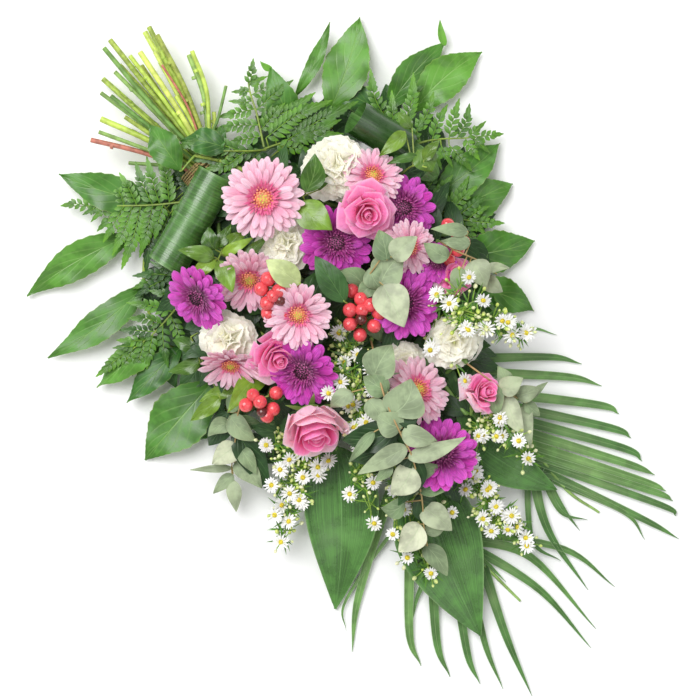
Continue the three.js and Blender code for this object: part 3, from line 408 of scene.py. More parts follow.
def pale_rim(tree, given):
    """The rim of a blade, at its sides and, by the share given, at its tip."""
    out = sums(tree, "ABSOLUTE", mark(tree, "across"))
    tip = sums(tree, "MULTIPLY", mark(tree, "along"), given["Tip"])
    return {"Rim": ramped(tree, sums(tree, "MAXIMUM", out, tip), given["Start"], 1.0)}


EFFECTS = {
    "veins": effect("leaf veins", {"Pairs": 8.0, "Slant": 3.0, "Fineness": 7.0, "Midrib width": 0.07},
                    ("Side veins", "Midrib"), leaf_veins),
    "lines": effect("lengthwise lines", {"Count": 12.0, "Unevenness": 2.0}, ("Lines",), lengthwise_lines),
    "mottle": effect("mottle", {"Scale": 60.0}, ("Patches",), mottle),
    "rim": effect("pale rim", {"Start": 0.8, "Tip": 0.0}, ("Rim",), pale_rim),
}


def shared(tree, name, **values):
    """A shared effect in a finish, with the finish's own values."""
    node = tree.nodes.new("ShaderNodeGroup")
    node.node_tree = EFFECTS[name]
    for key, value in values.items():
        node.inputs[key.replace("_", " ").capitalize()].default_value = value
    return node.outputs


def shaded(tree, colour, mask, depth, gain):
    """A colour, darker by depth where the mask is 0, and lighter by a share of it where it is 1."""
    shade = ramped(tree, mask, 0.0, 1.0, 1.0 - depth, 1.0 + gain * depth)
    return mixed(tree, 1.0, colour, shade, "MULTIPLY")


SIDE_VEINS = 0.55  # how strong the side veins are beside the midrib
PATCH_RELIEF = 0.35
UNDER_SHARE = 0.75  # how much of its under colour a blade shows below
RELIEF_DEPTH = 0.0006  # in metres
WAX_ROUGHNESS = 0.18
PAINTED_GLOW = 0.12  # how much of a petal's glow is painted on: its colour given off as light of its own


def plant_finish(name, colours, light=None, under=None, patches=(70.0, 0.2), lines=None, veins=None,
                 rim=None, roughness=0.5, coat=0.0, sheen=0.0, relief=0.35, shine=0.5, glow=0.0,
                 scatter=(0.004, 0.0025, 0.002)):
    """The finish of a petal, leaf or stem, with its colours in everyday values.

    colours run from base to tip as (place, colour) rows; light is where the blades of a high
    tone go, under the colour below. patches is (scale, depth), lines (count, depth, relief),
    veins (colour, pairs, slant, midrib width, strength), rim (colour, start, tip, strength).
    """
    material = bpy.data.materials.new(name)
    material.use_nodes = True
    tree = material.node_tree
    shader = tree.nodes["Principled BSDF"]
    ramp = put(tree, "ShaderNodeValToRGB", {"Fac": mark(tree, "along")})
    stops = ramp.color_ramp.elements
    for number, (place, shade) in enumerate(colours):
        stop = stops[number] if number < 2 else stops.new(place)
        stop.position, stop.color = place, dye(*shade)
    colour = ramp.outputs["Color"]
    if light:
        colour = mixed(tree, mark(tree, "tone"), colour, dye(*light))
    scale, depth = patches
    uneven = shared(tree, "mottle", scale=scale)["Patches"]
    colour = shaded(tree, colour, uneven, depth, 0.5)
    height = sums(tree, "MULTIPLY", uneven, PATCH_RELIEF)
    if lines:
        count, depth, ridge = lines
        fine = shared(tree, "lines", count=count)["Lines"]
        colour = shaded(tree, colour, fine, depth, 0.4)
        height = sums(tree, "MULTIPLY_ADD", fine, ridge, height)
    if veins:
        shade, pairs, slant, width, strength = veins
        pattern = shared(tree, "veins", pairs=pairs, slant=slant, midrib_width=width)
        side_veins = sums(tree, "MULTIPLY", pattern["Side veins"], SIDE_VEINS)
        both = sums(tree, "MAXIMUM", side_veins, pattern["Midrib"])
        colour = mixed(tree, sums(tree, "MULTIPLY", both, strength), colour, dye(*shade))
        height = sums(tree, "SUBTRACT", height, both)
    if rim:
        shade, start, tip, strength = rim
        edge = shared(tree, "rim", start=start, tip=tip)["Rim"]
        colour = mixed(tree, sums(tree, "MULTIPLY", edge, strength), colour, dye(*shade))
    if under:
        colour = mixed(tree, sums(tree, "MULTIPLY", mark(tree, "under"), UNDER_SHARE), colour, dye(*under))
    tree.links.new(colour, shader.inputs["Base Color"])
    tree.links.new(ramped(tree, uneven, 0.0, 1.0, roughness - 0.07, roughness + 0.09),
                   shader.inputs["Roughness"])
    bump = put(tree, "ShaderNodeBump", {"Height": height, "Strength": relief, "Distance": RELIEF_DEPTH})
    tree.links.new(bump.outputs["Normal"], shader.inputs["Normal"])
    shader.inputs["Coat Weight"].default_value = coat
    shader.inputs["Coat Roughness"].default_value = WAX_ROUGHNESS
    shader.inputs["Sheen Weight"].default_value = sheen
    shader.inputs["Specular IOR Level"].default_value = shine
    if glow:
        shader.inputs["Subsurface Weight"].default_value = glow
        shader.inputs["Subsurface Radius"].default_value = scatter
        shader.inputs["Subsurface Scale"].default_value = 1.0
        # glow sets the light that passes through the petal, and also a painted glow: the petal gives off its
        # own colour as light, though it is no lamp
        tree.links.new(colour, shader.inputs["Emission Color"])
        shader.inputs["Emission Strength"].default_value = PAINTED_GLOW * glow
    return material


def petals(base, middle, tip, light, under, **more):
    """What a petal's finish is made from: five colours, and its own settings over the usual ones."""
    usual = {"patches": (90.0, 0.08), "lines": (9.0, 0.10, 0.8), "roughness": 0.55, "sheen": 0.25,
             "shine": 0.3, "relief": 0.4}
    colours = [(0.0, base), (0.55, middle), (1.0, tip)]
    return {**usual, "colours": colours, "light": light, "under": under, **more}


def greenery(base, tip, light, under, **more):
    """The same for a leaf, with four colours."""
    usual = {"roughness": 0.42, "patches": (55.0, 0.28)}
    return {**usual, "colours": [(0.0, base), (1.0, tip)], "light": light, "under": under, **more}


def solid_part(first, last, light, **more):
    """The same for a stem, cup or heart, with three colours and none below."""
    return {"colours": [(0.0, first), (1.0, last)], "light": light, **more}


SURFACES = {
    "pink petal": petals((224, 98, 146), (248, 172, 198), (252, 208, 222), (255, 222, 232), (242, 178, 204),
                         lines=(9.0, 0.16, 0.9), glow=0.3),
    "pink frill": petals((196, 60, 110), (232, 86, 148), (244, 140, 180), (240, 120, 160), (236, 110, 160)),
    "pink heart": solid_part((224, 112, 104), (240, 160, 116), (206, 210, 76), patches=(260.0, 0.25),
                             roughness=0.6),
    "purple petal": petals((128, 14, 98), (200, 44, 168), (222, 80, 198), (230, 96, 212), (206, 110, 190),
                           lines=(9.0, 0.26, 0.9), glow=0.3),
    "purple frill": petals((54, 6, 38), (128, 18, 98), (226, 120, 200), (160, 34, 126), (96, 14, 74)),
    "purple heart": solid_part((58, 8, 40), (196, 96, 156), (22, 8, 12), patches=(260.0, 0.35),
                               roughness=0.6),
    # the pale rims of the rose petals are painted highlights, where their rolled rims catch the light
    "rose petal": petals((206, 26, 104), (240, 78, 154), (250, 126, 184), (254, 156, 200), (246, 136, 188),
                         rim=((255, 190, 218), 0.92, 1.0, 0.5), lines=(16.0, 0.06, 0.25), glow=0.42),
    "pale rose petal": petals((206, 90, 142), (240, 150, 182), (250, 190, 208), (254, 212, 216),
                              (248, 186, 206), rim=((252, 210, 222), 0.92, 1.0, 0.5),
                              lines=(16.0, 0.06, 0.25), glow=0.6),
    "carnation petal": petals((226, 226, 172), (246, 242, 214), (250, 248, 232), (252, 250, 236),
                              (250, 246, 222), lines=(22.0, 0.05, 0.4), glow=0.5,
                              scatter=(0.003, 0.003, 0.0028)),
    "berry skin": dict(colours=[(0.0, (222, 62, 74)), (0.6, (238, 88, 96)), (0.95, (226, 72, 78)),
                                (1.0, (84, 34, 26))],
                       light=(96, 34, 30), patches=(120.0, 0.14), roughness=0.22, coat=0.5, glow=0.3),
    "calyx": solid_part((88, 130, 60), (140, 172, 84), (120, 150, 70)),
    "big leaf": greenery((40, 86, 26), (60, 118, 34), (104, 164, 54), (150, 180, 100),
                         veins=((140, 180, 92), 8.0, 2.6, 0.045, 0.5), rim=((150, 170, 90), 0.94, 0, 0.4),
                         roughness=0.4, coat=0.1, relief=0.45),
    # dark leaves, made darker also to paint the shade deep in the spray, between and under the blooms
    "dark leaf": greenery((22, 50, 18), (34, 74, 26), (64, 114, 40), (90, 124, 66),
                          veins=((104, 146, 84), 7.0, 2.6, 0.06, 0.5), roughness=0.42, relief=0.6),
    "broad leaf": greenery((44, 96, 30), (62, 120, 38), (112, 164, 80), (136, 172, 100),
                           lines=(34.0, 0.32, 0.9), rim=((150, 190, 120), 0.94, 0, 0.5),
                           veins=((128, 176, 104), 1.0, 0.0, 0.03, 0.5), roughness=0.32, coat=0.2),
    "rolled leaf": greenery((34, 80, 20), (52, 104, 30), (110, 160, 78), (24, 56, 18),
                            lines=(34.0, 0.32, 0.9), rim=((140, 180, 110), 0.94, 0, 0.4),
                            veins=((120, 168, 96), 1.0, 0.0, 0.03, 0.5), roughness=0.32, coat=0.6),
    "fern leaf": greenery((46, 98, 8), (112, 172, 24), (34, 82, 10), (122, 166, 46),
                          veins=((140, 190, 96), 5.0, 1.6, 0.1, 0.35), roughness=0.36, coat=0.1),
    "palm leaf": greenery((54, 96, 46), (80, 130, 60), (116, 162, 84), (130, 170, 120),
                          lines=(12.0, 0.22, 0.8), rim=((190, 210, 160), 0.86, 0, 0.55),
                          veins=((170, 200, 130), 1.0, 0.0, 0.08, 0.5), roughness=0.42),
    "sprig leaf": greenery((36, 76, 16), (54, 102, 22), (152, 190, 58), (110, 150, 80),
                           veins=((150, 186, 96), 6.0, 2.4, 0.05, 0.4), roughness=0.32, coat=0.2),
    "pale leaf": greenery((150, 172, 96), (184, 200, 128), (206, 216, 156), (190, 204, 150),
                          veins=((206, 214, 160), 6.0, 2.4, 0.05, 0.4)),
    "gum leaf": greenery((88, 120, 76), (116, 144, 92), (210, 214, 184), (164, 180, 138),
                         veins=((178, 200, 152), 6.0, 2.2, 0.05, 0.5), rim=((178, 176, 140), 0.93, 0, 0.35),
                         roughness=0.58, sheen=0.1, relief=0.4),
    "gum stem": solid_part((196, 132, 104), (190, 150, 104), (150, 160, 90)),
    "aster ray": petals((226, 230, 200), (250, 250, 246), (255, 255, 252), (255, 255, 255), (240, 240, 232),
                        lines=(3.0, 0.08, 0.7)),
    "aster disc": solid_part((206, 190, 30), (236, 216, 60), (200, 170, 40), patches=(700.0, 0.4),
                             roughness=0.7, relief=1.0),
    "bud": solid_part((128, 182, 46), (226, 234, 112), (244, 244, 204), patches=(200.0, 0.2)),
    "thin stem": solid_part((104, 160, 48), (144, 194, 66), (160, 144, 80), patches=(110.0, 0.3)),
    "green stem": solid_part((88, 132, 60), (112, 156, 74), (156, 190, 104), patches=(90.0, 0.3),
                             roughness=0.4),
    "yellow stem": solid_part((166, 202, 74), (196, 224, 94), (228, 238, 124), patches=(90.0, 0.25),
                              roughness=0.35, coat=0.15),
    "olive stem": solid_part((142, 178, 66), (176, 204, 88), (156, 158, 76), patches=(160.0, 0.35),
                             roughness=0.5),
    "red stem": solid_part((160, 100, 72), (196, 118, 100), (214, 140, 122), patches=(120.0, 0.3),
                           roughness=0.45),
    "cut end": solid_part((226, 230, 190), (206, 214, 160), (190, 180, 130), patches=(500.0, 0.25),
                          roughness=0.7),
    "twine": solid_part((190, 166, 112), (206, 184, 130), (170, 144, 92), patches=(700.0, 0.5),
                        roughness=0.9, relief=1.0),
}
FINISHES = {name: plant_finish(name, **values) for name, values in SURFACES.items()}

FLOOR_REACH = 6  # from its middle to each side, in metres
DULL_FLOOR, BRIGHT_FLOOR = 0.955, 0.965
floor_mesh = bpy.data.meshes.new("floor")
corners = [(x * FLOOR_REACH, y * FLOOR_REACH, 0) for x, y in [(-1, -1), (1, -1), (1, 1), (-1, 1)]]
floor_mesh.from_pydata(corners, [], [(0, 1, 2, 3)])
floor_paint = bpy.data.materials.new("pale floor")
floor_paint.use_nodes = True
floor_tree = floor_paint.node_tree
floor_patches = shared(floor_tree, "mottle", scale=3.0)["Patches"]
floor_shade = ramped(floor_tree, floor_patches, 0.0, 1.0, DULL_FLOOR, BRIGHT_FLOOR)
floor_shader = floor_tree.nodes["Principled BSDF"]
floor_tree.links.new(floor_shade, floor_shader.inputs["Base Color"])
floor_shader.inputs["Roughness"].default_value = 0.9
floor_mesh.materials.append(floor_paint)
floor = bpy.data.objects.new("floor", floor_mesh)
scene.collection.objects.link(floor)


# ---------------------------------------------------------------- blooms
NECK_LENGTH = 22.0  # in mm
GOLDEN_TURN = 137.5  # degrees from one floret or fan to the next
PETAL_SHARES = (0.0, 0.2, 0.45, 0.7, 0.86, 0.95, 1.0)
FRILL_SHARES = (0.0, 0.4, 0.8, 1.0)
# places along a petal, and its width there as a share of the widest
STRAP_WIDTHS = ([0, 0.3, 0.6, 0.78, 0.9, 0.97, 1], [0.45, 0.76, 1.0, 0.95, 0.72, 0.42, 0.15])


def neck(piece, place, radius, top, tone=0.4):
    """The stalk under a bloom, and the green cup that holds its petals."""
    ends = [place(np.array([0, 0, -low])) for low in (NECK_LENGTH, 4.0)]
    piece.stem(ends, 2.3, "green stem", tone, 8, 2)
    cup = [[2.3, -8.0], [radius * 0.6, -5.5], [radius, -2.5], [radius * 1.04, top], [radius * 0.7, top + 0.6]]
    piece.lathe(cup, place, "calyx", tone, 12, ripple=0.05)


def strap_petal(root, length, width, height, droop, cup, notch=0.0, shares=PETAL_SHARES, columns=5):
    """A gerbera's long petal along +X, from its root to its rounded tip."""
    t = np.array(shares)[:, None]
    s = np.linspace(-1, 1, columns)[None, :]
    half = 0.5 * width * np.interp(t, *STRAP_WIDTHS)
    x = root + (length - root) * (t - notch * (t > 0.94) * np.cos(1.5 * math.pi * s) ** 2)
    ribs = 0.22 * np.cos(2 * math.pi * s) * np.sin(math.pi * t)
    z = height(x) - droop * t**2.6 + cup * half * (s**2 - 0.35) - ribs
    return np.stack(np.broadcast_arrays(x, half * s, z), -1)


# rows of petals from below: how many, their reach and width as shares of the radius, their slope
# and its spread, and the height of the foot
GERBERA_PETALS = {
    "pink": [(23, 1.0, 0.21, 0.04, 0.05, 0.0), (23, 0.93, 0.2, 0.12, 0.05, 1.2),
             (19, 0.74, 0.165, 0.26, 0.07, 2.4)],
    "purple": [(18, 1.0, 0.3, 0.03, 0.05, 0.0), (17, 0.94, 0.28, 0.1, 0.06, 1.2),
               (15, 0.7, 0.2, 0.24, 0.08, 2.4)],
}
# rows of the frill: how many, their reach, their slope, and the height of the foot
GERBERA_FRILLS = {
    "pink": [(32, 0.42, 0.55, 2.8), (30, 0.37, 0.8, 3.0), (26, 0.32, 1.1, 3.2), (22, 0.26, 1.4, 3.2)],
    "purple": [(32, 0.54, 0.5, 2.8), (30, 0.44, 0.75, 3.0), (26, 0.34, 1.1, 3.2), (22, 0.26, 1.4, 3.2)],
}
EYE_SHARES = {"pink": 0.26, "purple": 0.55}  # how far the eye goes into the florets of the heart
FLORETS = 54  # of a gerbera's heart


def gerbera(colour, u, v, z, radius, lean, to, cup, seed):
    """Rows of strap petals round a frill of short ones and a heart of tiny florets.

    u and v are the pixel of its heart; cup is how steeply its petals rise."""
    random = np.random.default_rng(seed)
    place = seat(*seen(u, v, z + 5) - UP * 5, lean, to, seed * 23.0)
    piece = Piece()
    neck(piece, place, radius * 0.17, -1.5)
    for layer, (count, reach, width, slope, spread, foot) in enumerate(GERBERA_PETALS[colour]):
        for i in range(count):
            angle = 360.0 * (i + 0.5 * layer + 0.4 * (random.random() - 0.5)) / count
            far = radius * reach * (1 - 0.1 * random.random())
            tilt = slope + cup + spread * random.normal()
            petal = strap_petal(
                radius * 0.17, far, radius * width * (0.88 + 0.24 * random.random()),
                lambda r: 0.5 + foot + tilt * (r - radius * 0.16), 1.0 + 3.2 * random.random(),
                0.14 * random.normal(), 0.02 * random.random(),
            )
            petal[..., 1] += 1.6 * random.normal() * ((petal[..., 0] / far) ** 2)
            piece.blade(place(fanned(petal, angle)), 0.45, f"{colour} petal", 0.65 * random.random())
    for count, reach, slope, foot in GERBERA_FRILLS[colour]:
        for i in range(count):
            angle = 360.0 * (i + 0.4 * random.random()) / count
            petal = strap_petal(
                radius * 0.12, radius * reach * (0.82 + 0.28 * random.random()), radius * 0.055,
                lambda r: foot + slope * (r - radius * 0.14), 2.0 * random.random(), 0.2,
                shares=FRILL_SHARES, columns=3,
            )
            piece.blade(place(fanned(petal, angle)), 0.35, f"{colour} frill", random.random())
    heart = [[0.1, 2.0], [radius * 0.2, 2.6], [radius * 0.19, 5.6], [radius * 0.12, 7.0], [0.1, 7.4]]
    piece.lathe(heart, place, f"{colour} heart", 0.0, 14, ripple=0.05, ribs=7)
    for i in range(FLORETS):
        share = (i + 0.5) / FLORETS
        out = heading(GOLDEN_TURN * i)
        spot = out * (radius * 0.235 * math.sqrt(share)) + UP * (7.2 - 1.6 * share)
        way = unit(out * share * 0.8 + UP)
        high = 1.2 + 1.8 * share
        ends = [place(spot), place(spot + way * high * 0.6), place(spot + way * high)]
        eye = min(1.0, max(0.0, 10.0 * (EYE_SHARES[colour] - share)))
        piece.stem(ends, (radius * 0.017, radius * 0.022), f"{colour} heart", eye, 5, 1)
    return piece


def rose_petal(radius, rim, foot, spread, roll, skew, point, openness, rows=10, columns=11):
    """A rose's petal, centred on +X: a bowl that opens out, whose rim rolls back to a soft point."""
    t = np.linspace(0, 1, rows)[:, None]
    s = np.linspace(-1, 1, columns)[None, :]
    bowl = (1 - openness) * np.sqrt(np.clip(1 - (1 - t) ** 2, 0, 1)) + openness * t**0.9
    over = np.clip((t - 0.66) / 0.34, 0, 1)
    curve = over**1.5 * (1 + point * (1 - np.abs(s)) ** 2 + 0.5 * s**2 - 0.6 * s**4)
    out = radius * (0.2 + 0.8 * bowl) * (1 + skew * s) + roll * curve
    fall = (0.34 * s**4 + 0.06 * s**2) * t**2
    z = foot + (rim - foot) * (t**1.15) * (1 - fall) - roll * over**2 * (0.8 + 0.5 * s**2)
    angle = np.radians(spread) * s * (0.55 + 0.45 * np.sin(0.5 * math.pi * t**0.7))
    return np.stack(np.broadcast_arrays(out * np.cos(angle), out * np.sin(angle), z), -1)


# rings of a rose's petals, from outside in: how many, radius and height of the rim as shares of
# the radius, roll of the rim, half spread in degrees, and how far the petal lies open
ROSE_RINGS = [(5, 0.94, 0.44, 0.16, 46, 0.8), (5, 0.8, 0.62, 0.13, 48, 0.6), (4, 0.6, 0.82, 0.1, 60, 0.4),
              (3, 0.4, 0.95, 0.05, 76, 0.25), (3, 0.25, 1.0, 0.02, 84, 0.1)]


def rose(u, v, z, radius, lean, to, seed, pale, closed):
    """Rings of petals that open round a tight spiral; a closed rose keeps its petals up."""
    random = np.random.default_rng(seed)
    place = seat(*seen(u, v, z + radius * 0.6) - UP * radius * 0.6, lean, to, seed * 31.0)
    piece = Piece()
    neck(piece, place, radius * 0.34, -0.5)
    for i in range(5):
        sepal = leaf((4, 0, -4), (radius * 0.8, 0, -2.5 - 3 * random.random()), 6, lance, rows=7, columns=5)
        piece.blade(place(fanned(sepal, 72 * i + 20)), 0.6, "calyx", random.random())
    for ring, (count, share, height, roll, spread, openness) in enumerate(ROSE_RINGS):
        for i in range(count):
            out = radius * share * (1 - 0.05 * i) * (1 + 0.05 * random.normal())
            rim = radius * (height + 0.5 * closed * share) * (1 + 0.05 * random.normal())
            bent = radius * roll * (0.6 + 0.8 * random.random()) * (1 - 0.5 * closed)
            petal = rose_petal(
                out - bent, rim, radius * (0.02 + 0.1 * ring), spread * (0.95 + 0.15 * random.random()),
                bent, 0.08 * random.normal(), 0.7 + 1.3 * random.random(), openness * (1 - closed),
            )
            rise = np.linspace(0, 1, petal.shape[0])[:, None] ** 2
            petal[..., 2] += 0.9 * np.sin(4 * petal[..., 1] / max(out, 5) + 6 * random.random()) * rise
            skin = "pale rose petal" if ring < 2 and random.random() < pale else "rose petal"
            tone = max((0.8 - 0.18 * ring) * random.random(), 0.0)
            angle = 144.0 * i + 40 * ring + 12 * random.normal()
            piece.blade(place(fanned(petal, angle)), 0.5, skin, tone)
    turns = np.linspace(0, 1, 34)
    core = np.stack([heading(720.0 * t) * radius * (0.03 + 0.12 * t) for t in turns])
    rise = np.linspace(0.45, 1.0, 5)[:, None, None]
    crest = radius * UP * (1.0 + 0.03 * np.sin(9 * turns))[:, None]
    piece.blade(place(core[None] * (1.12 - 0.25 * rise) + rise * crest[None]), 0.45, "rose petal", 0.0)
    return piece


FANS = 31  # of a carnation


def carnation(u, v, z, radius, lean, to, seed):
    """Frilled fans, flat outside and upright in the middle."""
    random = np.random.default_rng(seed)
    place = seat(*seen(u, v, z + 10) - UP * 10, lean, to, seed * 17.0)
    piece = Piece()
    neck(piece, place, radius * 0.28, -1.0, 0.7)
    heart = [[0.1, -3.0], [radius * 0.5, -1.0], [radius * 0.6, radius * 0.08], [radius * 0.4, radius * 0.22],
             [0.1, radius * 0.26]]
    piece.lathe(heart, place, "carnation petal", 0.3, 16, ripple=0.1)
    t = np.linspace(0, 1, 8)[:, None]
    s = np.linspace(-1, 1, 15)[None, :]
    for i in range(FANS):
        share = i / (FANS - 1)
        rise = math.radians(4 + 62 * share**1.3 + 6 * random.normal())
        length = radius * (1.08 - 0.42 * share) * (0.88 + 0.2 * random.random())
        angle = np.radians(46 + 18 * random.random()) * s * (0.3 + 0.7 * t**0.7)
        out = length * t * (1 + 0.035 * np.cos(s * 20 + random.random() * 6) * (t > 0.95) - 0.12 * s**2 * t)
        along, sideways = out * np.cos(angle), out * np.sin(angle)
        waves = np.sin(s * (3.0 + 2.0 * random.random()) + 6 * random.random())
        ruffle = radius * 0.2 * t**1.5 * (waves + 0.12 * np.sin(s * 8 + 6 * random.random()))
        hook = -radius * 0.16 * t**3 * (1 - 0.3 * share)
        up = ruffle + hook + radius * 0.2 * share * t
        ahead = along * math.cos(rise) - up * math.sin(rise) + radius * 0.04
        high = along * math.sin(rise) + up * math.cos(rise) + radius * 0.12 * share
        petal = np.stack(np.broadcast_arrays(ahead, sideways, high), -1)
        piece.blade(place(fanned(petal, GOLDEN_TURN * i)), 0.4, "carnation petal", 0.8 * random.random())
    return piece


def berry(piece, spot, way, radius, dark, turn_by):
    """A plump berry with a dark point, on five small pointed leaves."""
    place = facing(way, spot)
    angles = np.linspace(0, math.pi, 11)
    profile = [[max(radius * math.sin(a), 0.05), -radius * 1.08 * math.cos(a)] for a in angles]
    profile[-2][1] += 0.1
    profile.append([0.35, radius * 1.16])
    piece.lathe(profile, place, "berry skin", dark, 14, ripple=0.012)
    for i in range(5):
        sepal = leaf((radius * 0.25, 0, -radius * 1.02), (radius * 1.02, 0, -radius * 0.42), radius * 0.62,
                     ovate, arch=-1.6, rows=6, columns=5)
        piece.blade(place(fanned(sepal, 72 * i + turn_by)), 0.45, "calyx", 0.4)


def berries(centre, spots, leaves, seed):
    """A bunch of berries on short stalks that part from one stem; spots are pixels of the picture."""
    random = np.random.default_rng(seed)
    piece = Piece()
    x, y, z = centre
    fork = np.array([x, y, z - 15.0])
    piece.stem([(x, y, z - 44), (x, y, z - 30), fork], (2.2, 2.0), "thin stem", 0.5, 8)
    for number, (u, v, size) in enumerate(spots):
        out = np.hypot(*(seen(u, v, z)[:2] - (x, y)))
        spot = seen(u, v, z + 2.6 - 0.022 * out**2 + 2.5 * random.random())
        way = unit(spot - fork + UP * 14)
        foot = spot - way * size * 1.05
        middle = (fork + foot) / 2 + heading(40 * number) * 1.5
        piece.stem([fork, middle, foot], (1.0, 0.9), "thin stem", 0.6, 5)
        berry(piece, spot, way, size * 1.06, 1.0 if number == 0 else 0.1 * random.random(), 30 * number)
    for u, v, u_tip, v_tip, width, finish, tone in leaves:
        base, tip = seen(u, v, z + 6), seen(u_tip, v_tip, z + 8)
        piece.stalk(fork, base, tip, 0.0, (1.0, 0.7), "thin stem", 0.4, 5, 4)
        piece.blade(leaf(base, tip, width, ovate, arch=4, wave=0.8, fold=0.1), 0.7, finish, tone)
    return piece


# pixel of the heart; height, radius, lean and its heading as the part has them; cup of the petals
GERBERAS = {
    "gerbera_pink_1": (263, 198, 100, 43, 6, 270, 0.04),
    "gerbera_pink_2": (372, 177, 84, 32, 24, 60, 0.16),
    "gerbera_pink_3": (250, 277, 84, 37, 30, 262, 0.3),
    "gerbera_pink_4": (299, 313, 104, 36, 20, 250, 0.32),
    "gerbera_pink_5": (231, 361, 68, 33, 50, 265, 0.5),
    "gerbera_pink_6": (408, 247, 86, 29, 16, 350, 0.2),
    "gerbera_pink_7": (416, 391, 84, 38, 36, 35, 0.1),
    "gerbera_purple_1": (403, 208, 74, 36, 18, 8, 0.06),
    "gerbera_purple_2": (336, 242, 82, 39, 14, 320, 0.08),
    "gerbera_purple_3": (199, 296, 80, 37, 42, 222, 0.16),
    "gerbera_purple_4": (304, 370, 84, 39, 32, 225, 0.16),
    "gerbera_purple_5": (404, 303, 88, 38, 12, 10, 0.1),
    "gerbera_purple_6": (441, 454, 84, 39, 18, 60, 0.1),
    "gerbera_purple_7": (436, 263, 76, 23, 20, 60, 0.2),
}
for seed, (node, values) in enumerate(GERBERAS.items(), 1):
    colour = "pink" if "pink" in node else "purple"
    gerbera(colour, *values, seed).make(f"{node}_bloom", f"{colour}_petals", node)

# pixel of the middle; height, radius, lean and heading; share of pale petals; how closed it is
ROSES = {
    "rose_1": (363, 206, 92, 30.5, 24, 300, 0.0, 0.1),
    "rose_2": (274, 350, 70, 30, 30, 300, 0.1, 0.2),
    "rose_3": (310, 414, 80, 34, 50, 284, 1.0, 1.0),
    "rose_4": (476, 396, 64, 25, 36, 20, 0.3, 0.2),
    "rose_5": (451, 278, 66, 21, 20, 20, 0.2, 0.2),
}
for seed, (node, (*values, pale, closed)) in enumerate(ROSES.items(), 21):
    rose(*values, seed, pale, closed).make(f"{node}_bloom", "rose_petals", node)

# pixel of the middle; height, radius, lean and heading
CARNATIONS = {
    "carnation_1": (336, 167, 72, 32, 8, 90),
    "carnation_2": (286, 243, 70, 27, 4, 0),
    "carnation_3": (228, 338, 65, 27, 14, 230),
    "carnation_4": (453, 340, 66, 26, 10, 20),
    "carnation_5": (404, 360, 62, 18, 10, 300),
}
for seed, (node, values) in enumerate(CARNATIONS.items(), 31):
    carnation(*values, seed).make(f"{node}_bloom", "cream_petals", node)

# centre as the part has it; berries as u and v pixels and a radius, the dark one first; and
# leaves as pixels of base and tip, width, finish and tone
BERRIES = {
    "berries_1": ((-77, 64, 112), [
        (280, 300, 5.6), (268, 279, 7.0), (261, 289, 6.6), (279, 291, 6.9), (294, 287, 6.8),
        (267, 303, 6.8), (268, 313, 6.6), (285, 312, 6.8), (273, 296, 6.2),
    ], [(300, 284, 266, 260, 25, "pale leaf", 0.5)]),
    "berries_2": ((10, 42, 98), [
        (361, 319, 5.4), (352, 291, 6.8), (361, 299, 6.6), (350, 310, 6.8), (370, 305, 6.6),
        (379, 313, 6.6), (350, 324, 6.6), (374, 326, 6.6), (360, 335, 6.4), (362, 310, 6.4),
    ], [(345, 302, 315, 256, 27, "dark leaf", 0.4)]),
    "berries_3": ((-94, -46, 80), [
        (262, 412, 5.2), (246, 405, 6.8), (260, 402, 6.6), (273, 409, 6.6), (276, 393, 6.4),
        (267, 416, 6.6), (253, 395, 6.2),
    ], []),
    "berries_4": ((104, 116, 88), [
        (452, 243, 5.2), (448, 225, 6.4), (457, 233, 6.4), (458, 250, 6.4), (449, 260, 6.2),
        (464, 242, 6.0),
    ], []),
}
for seed, (node, values) in enumerate(BERRIES.items(), 41):
    berries(*values, seed).make(f"{node}_bunch", "berry", node)
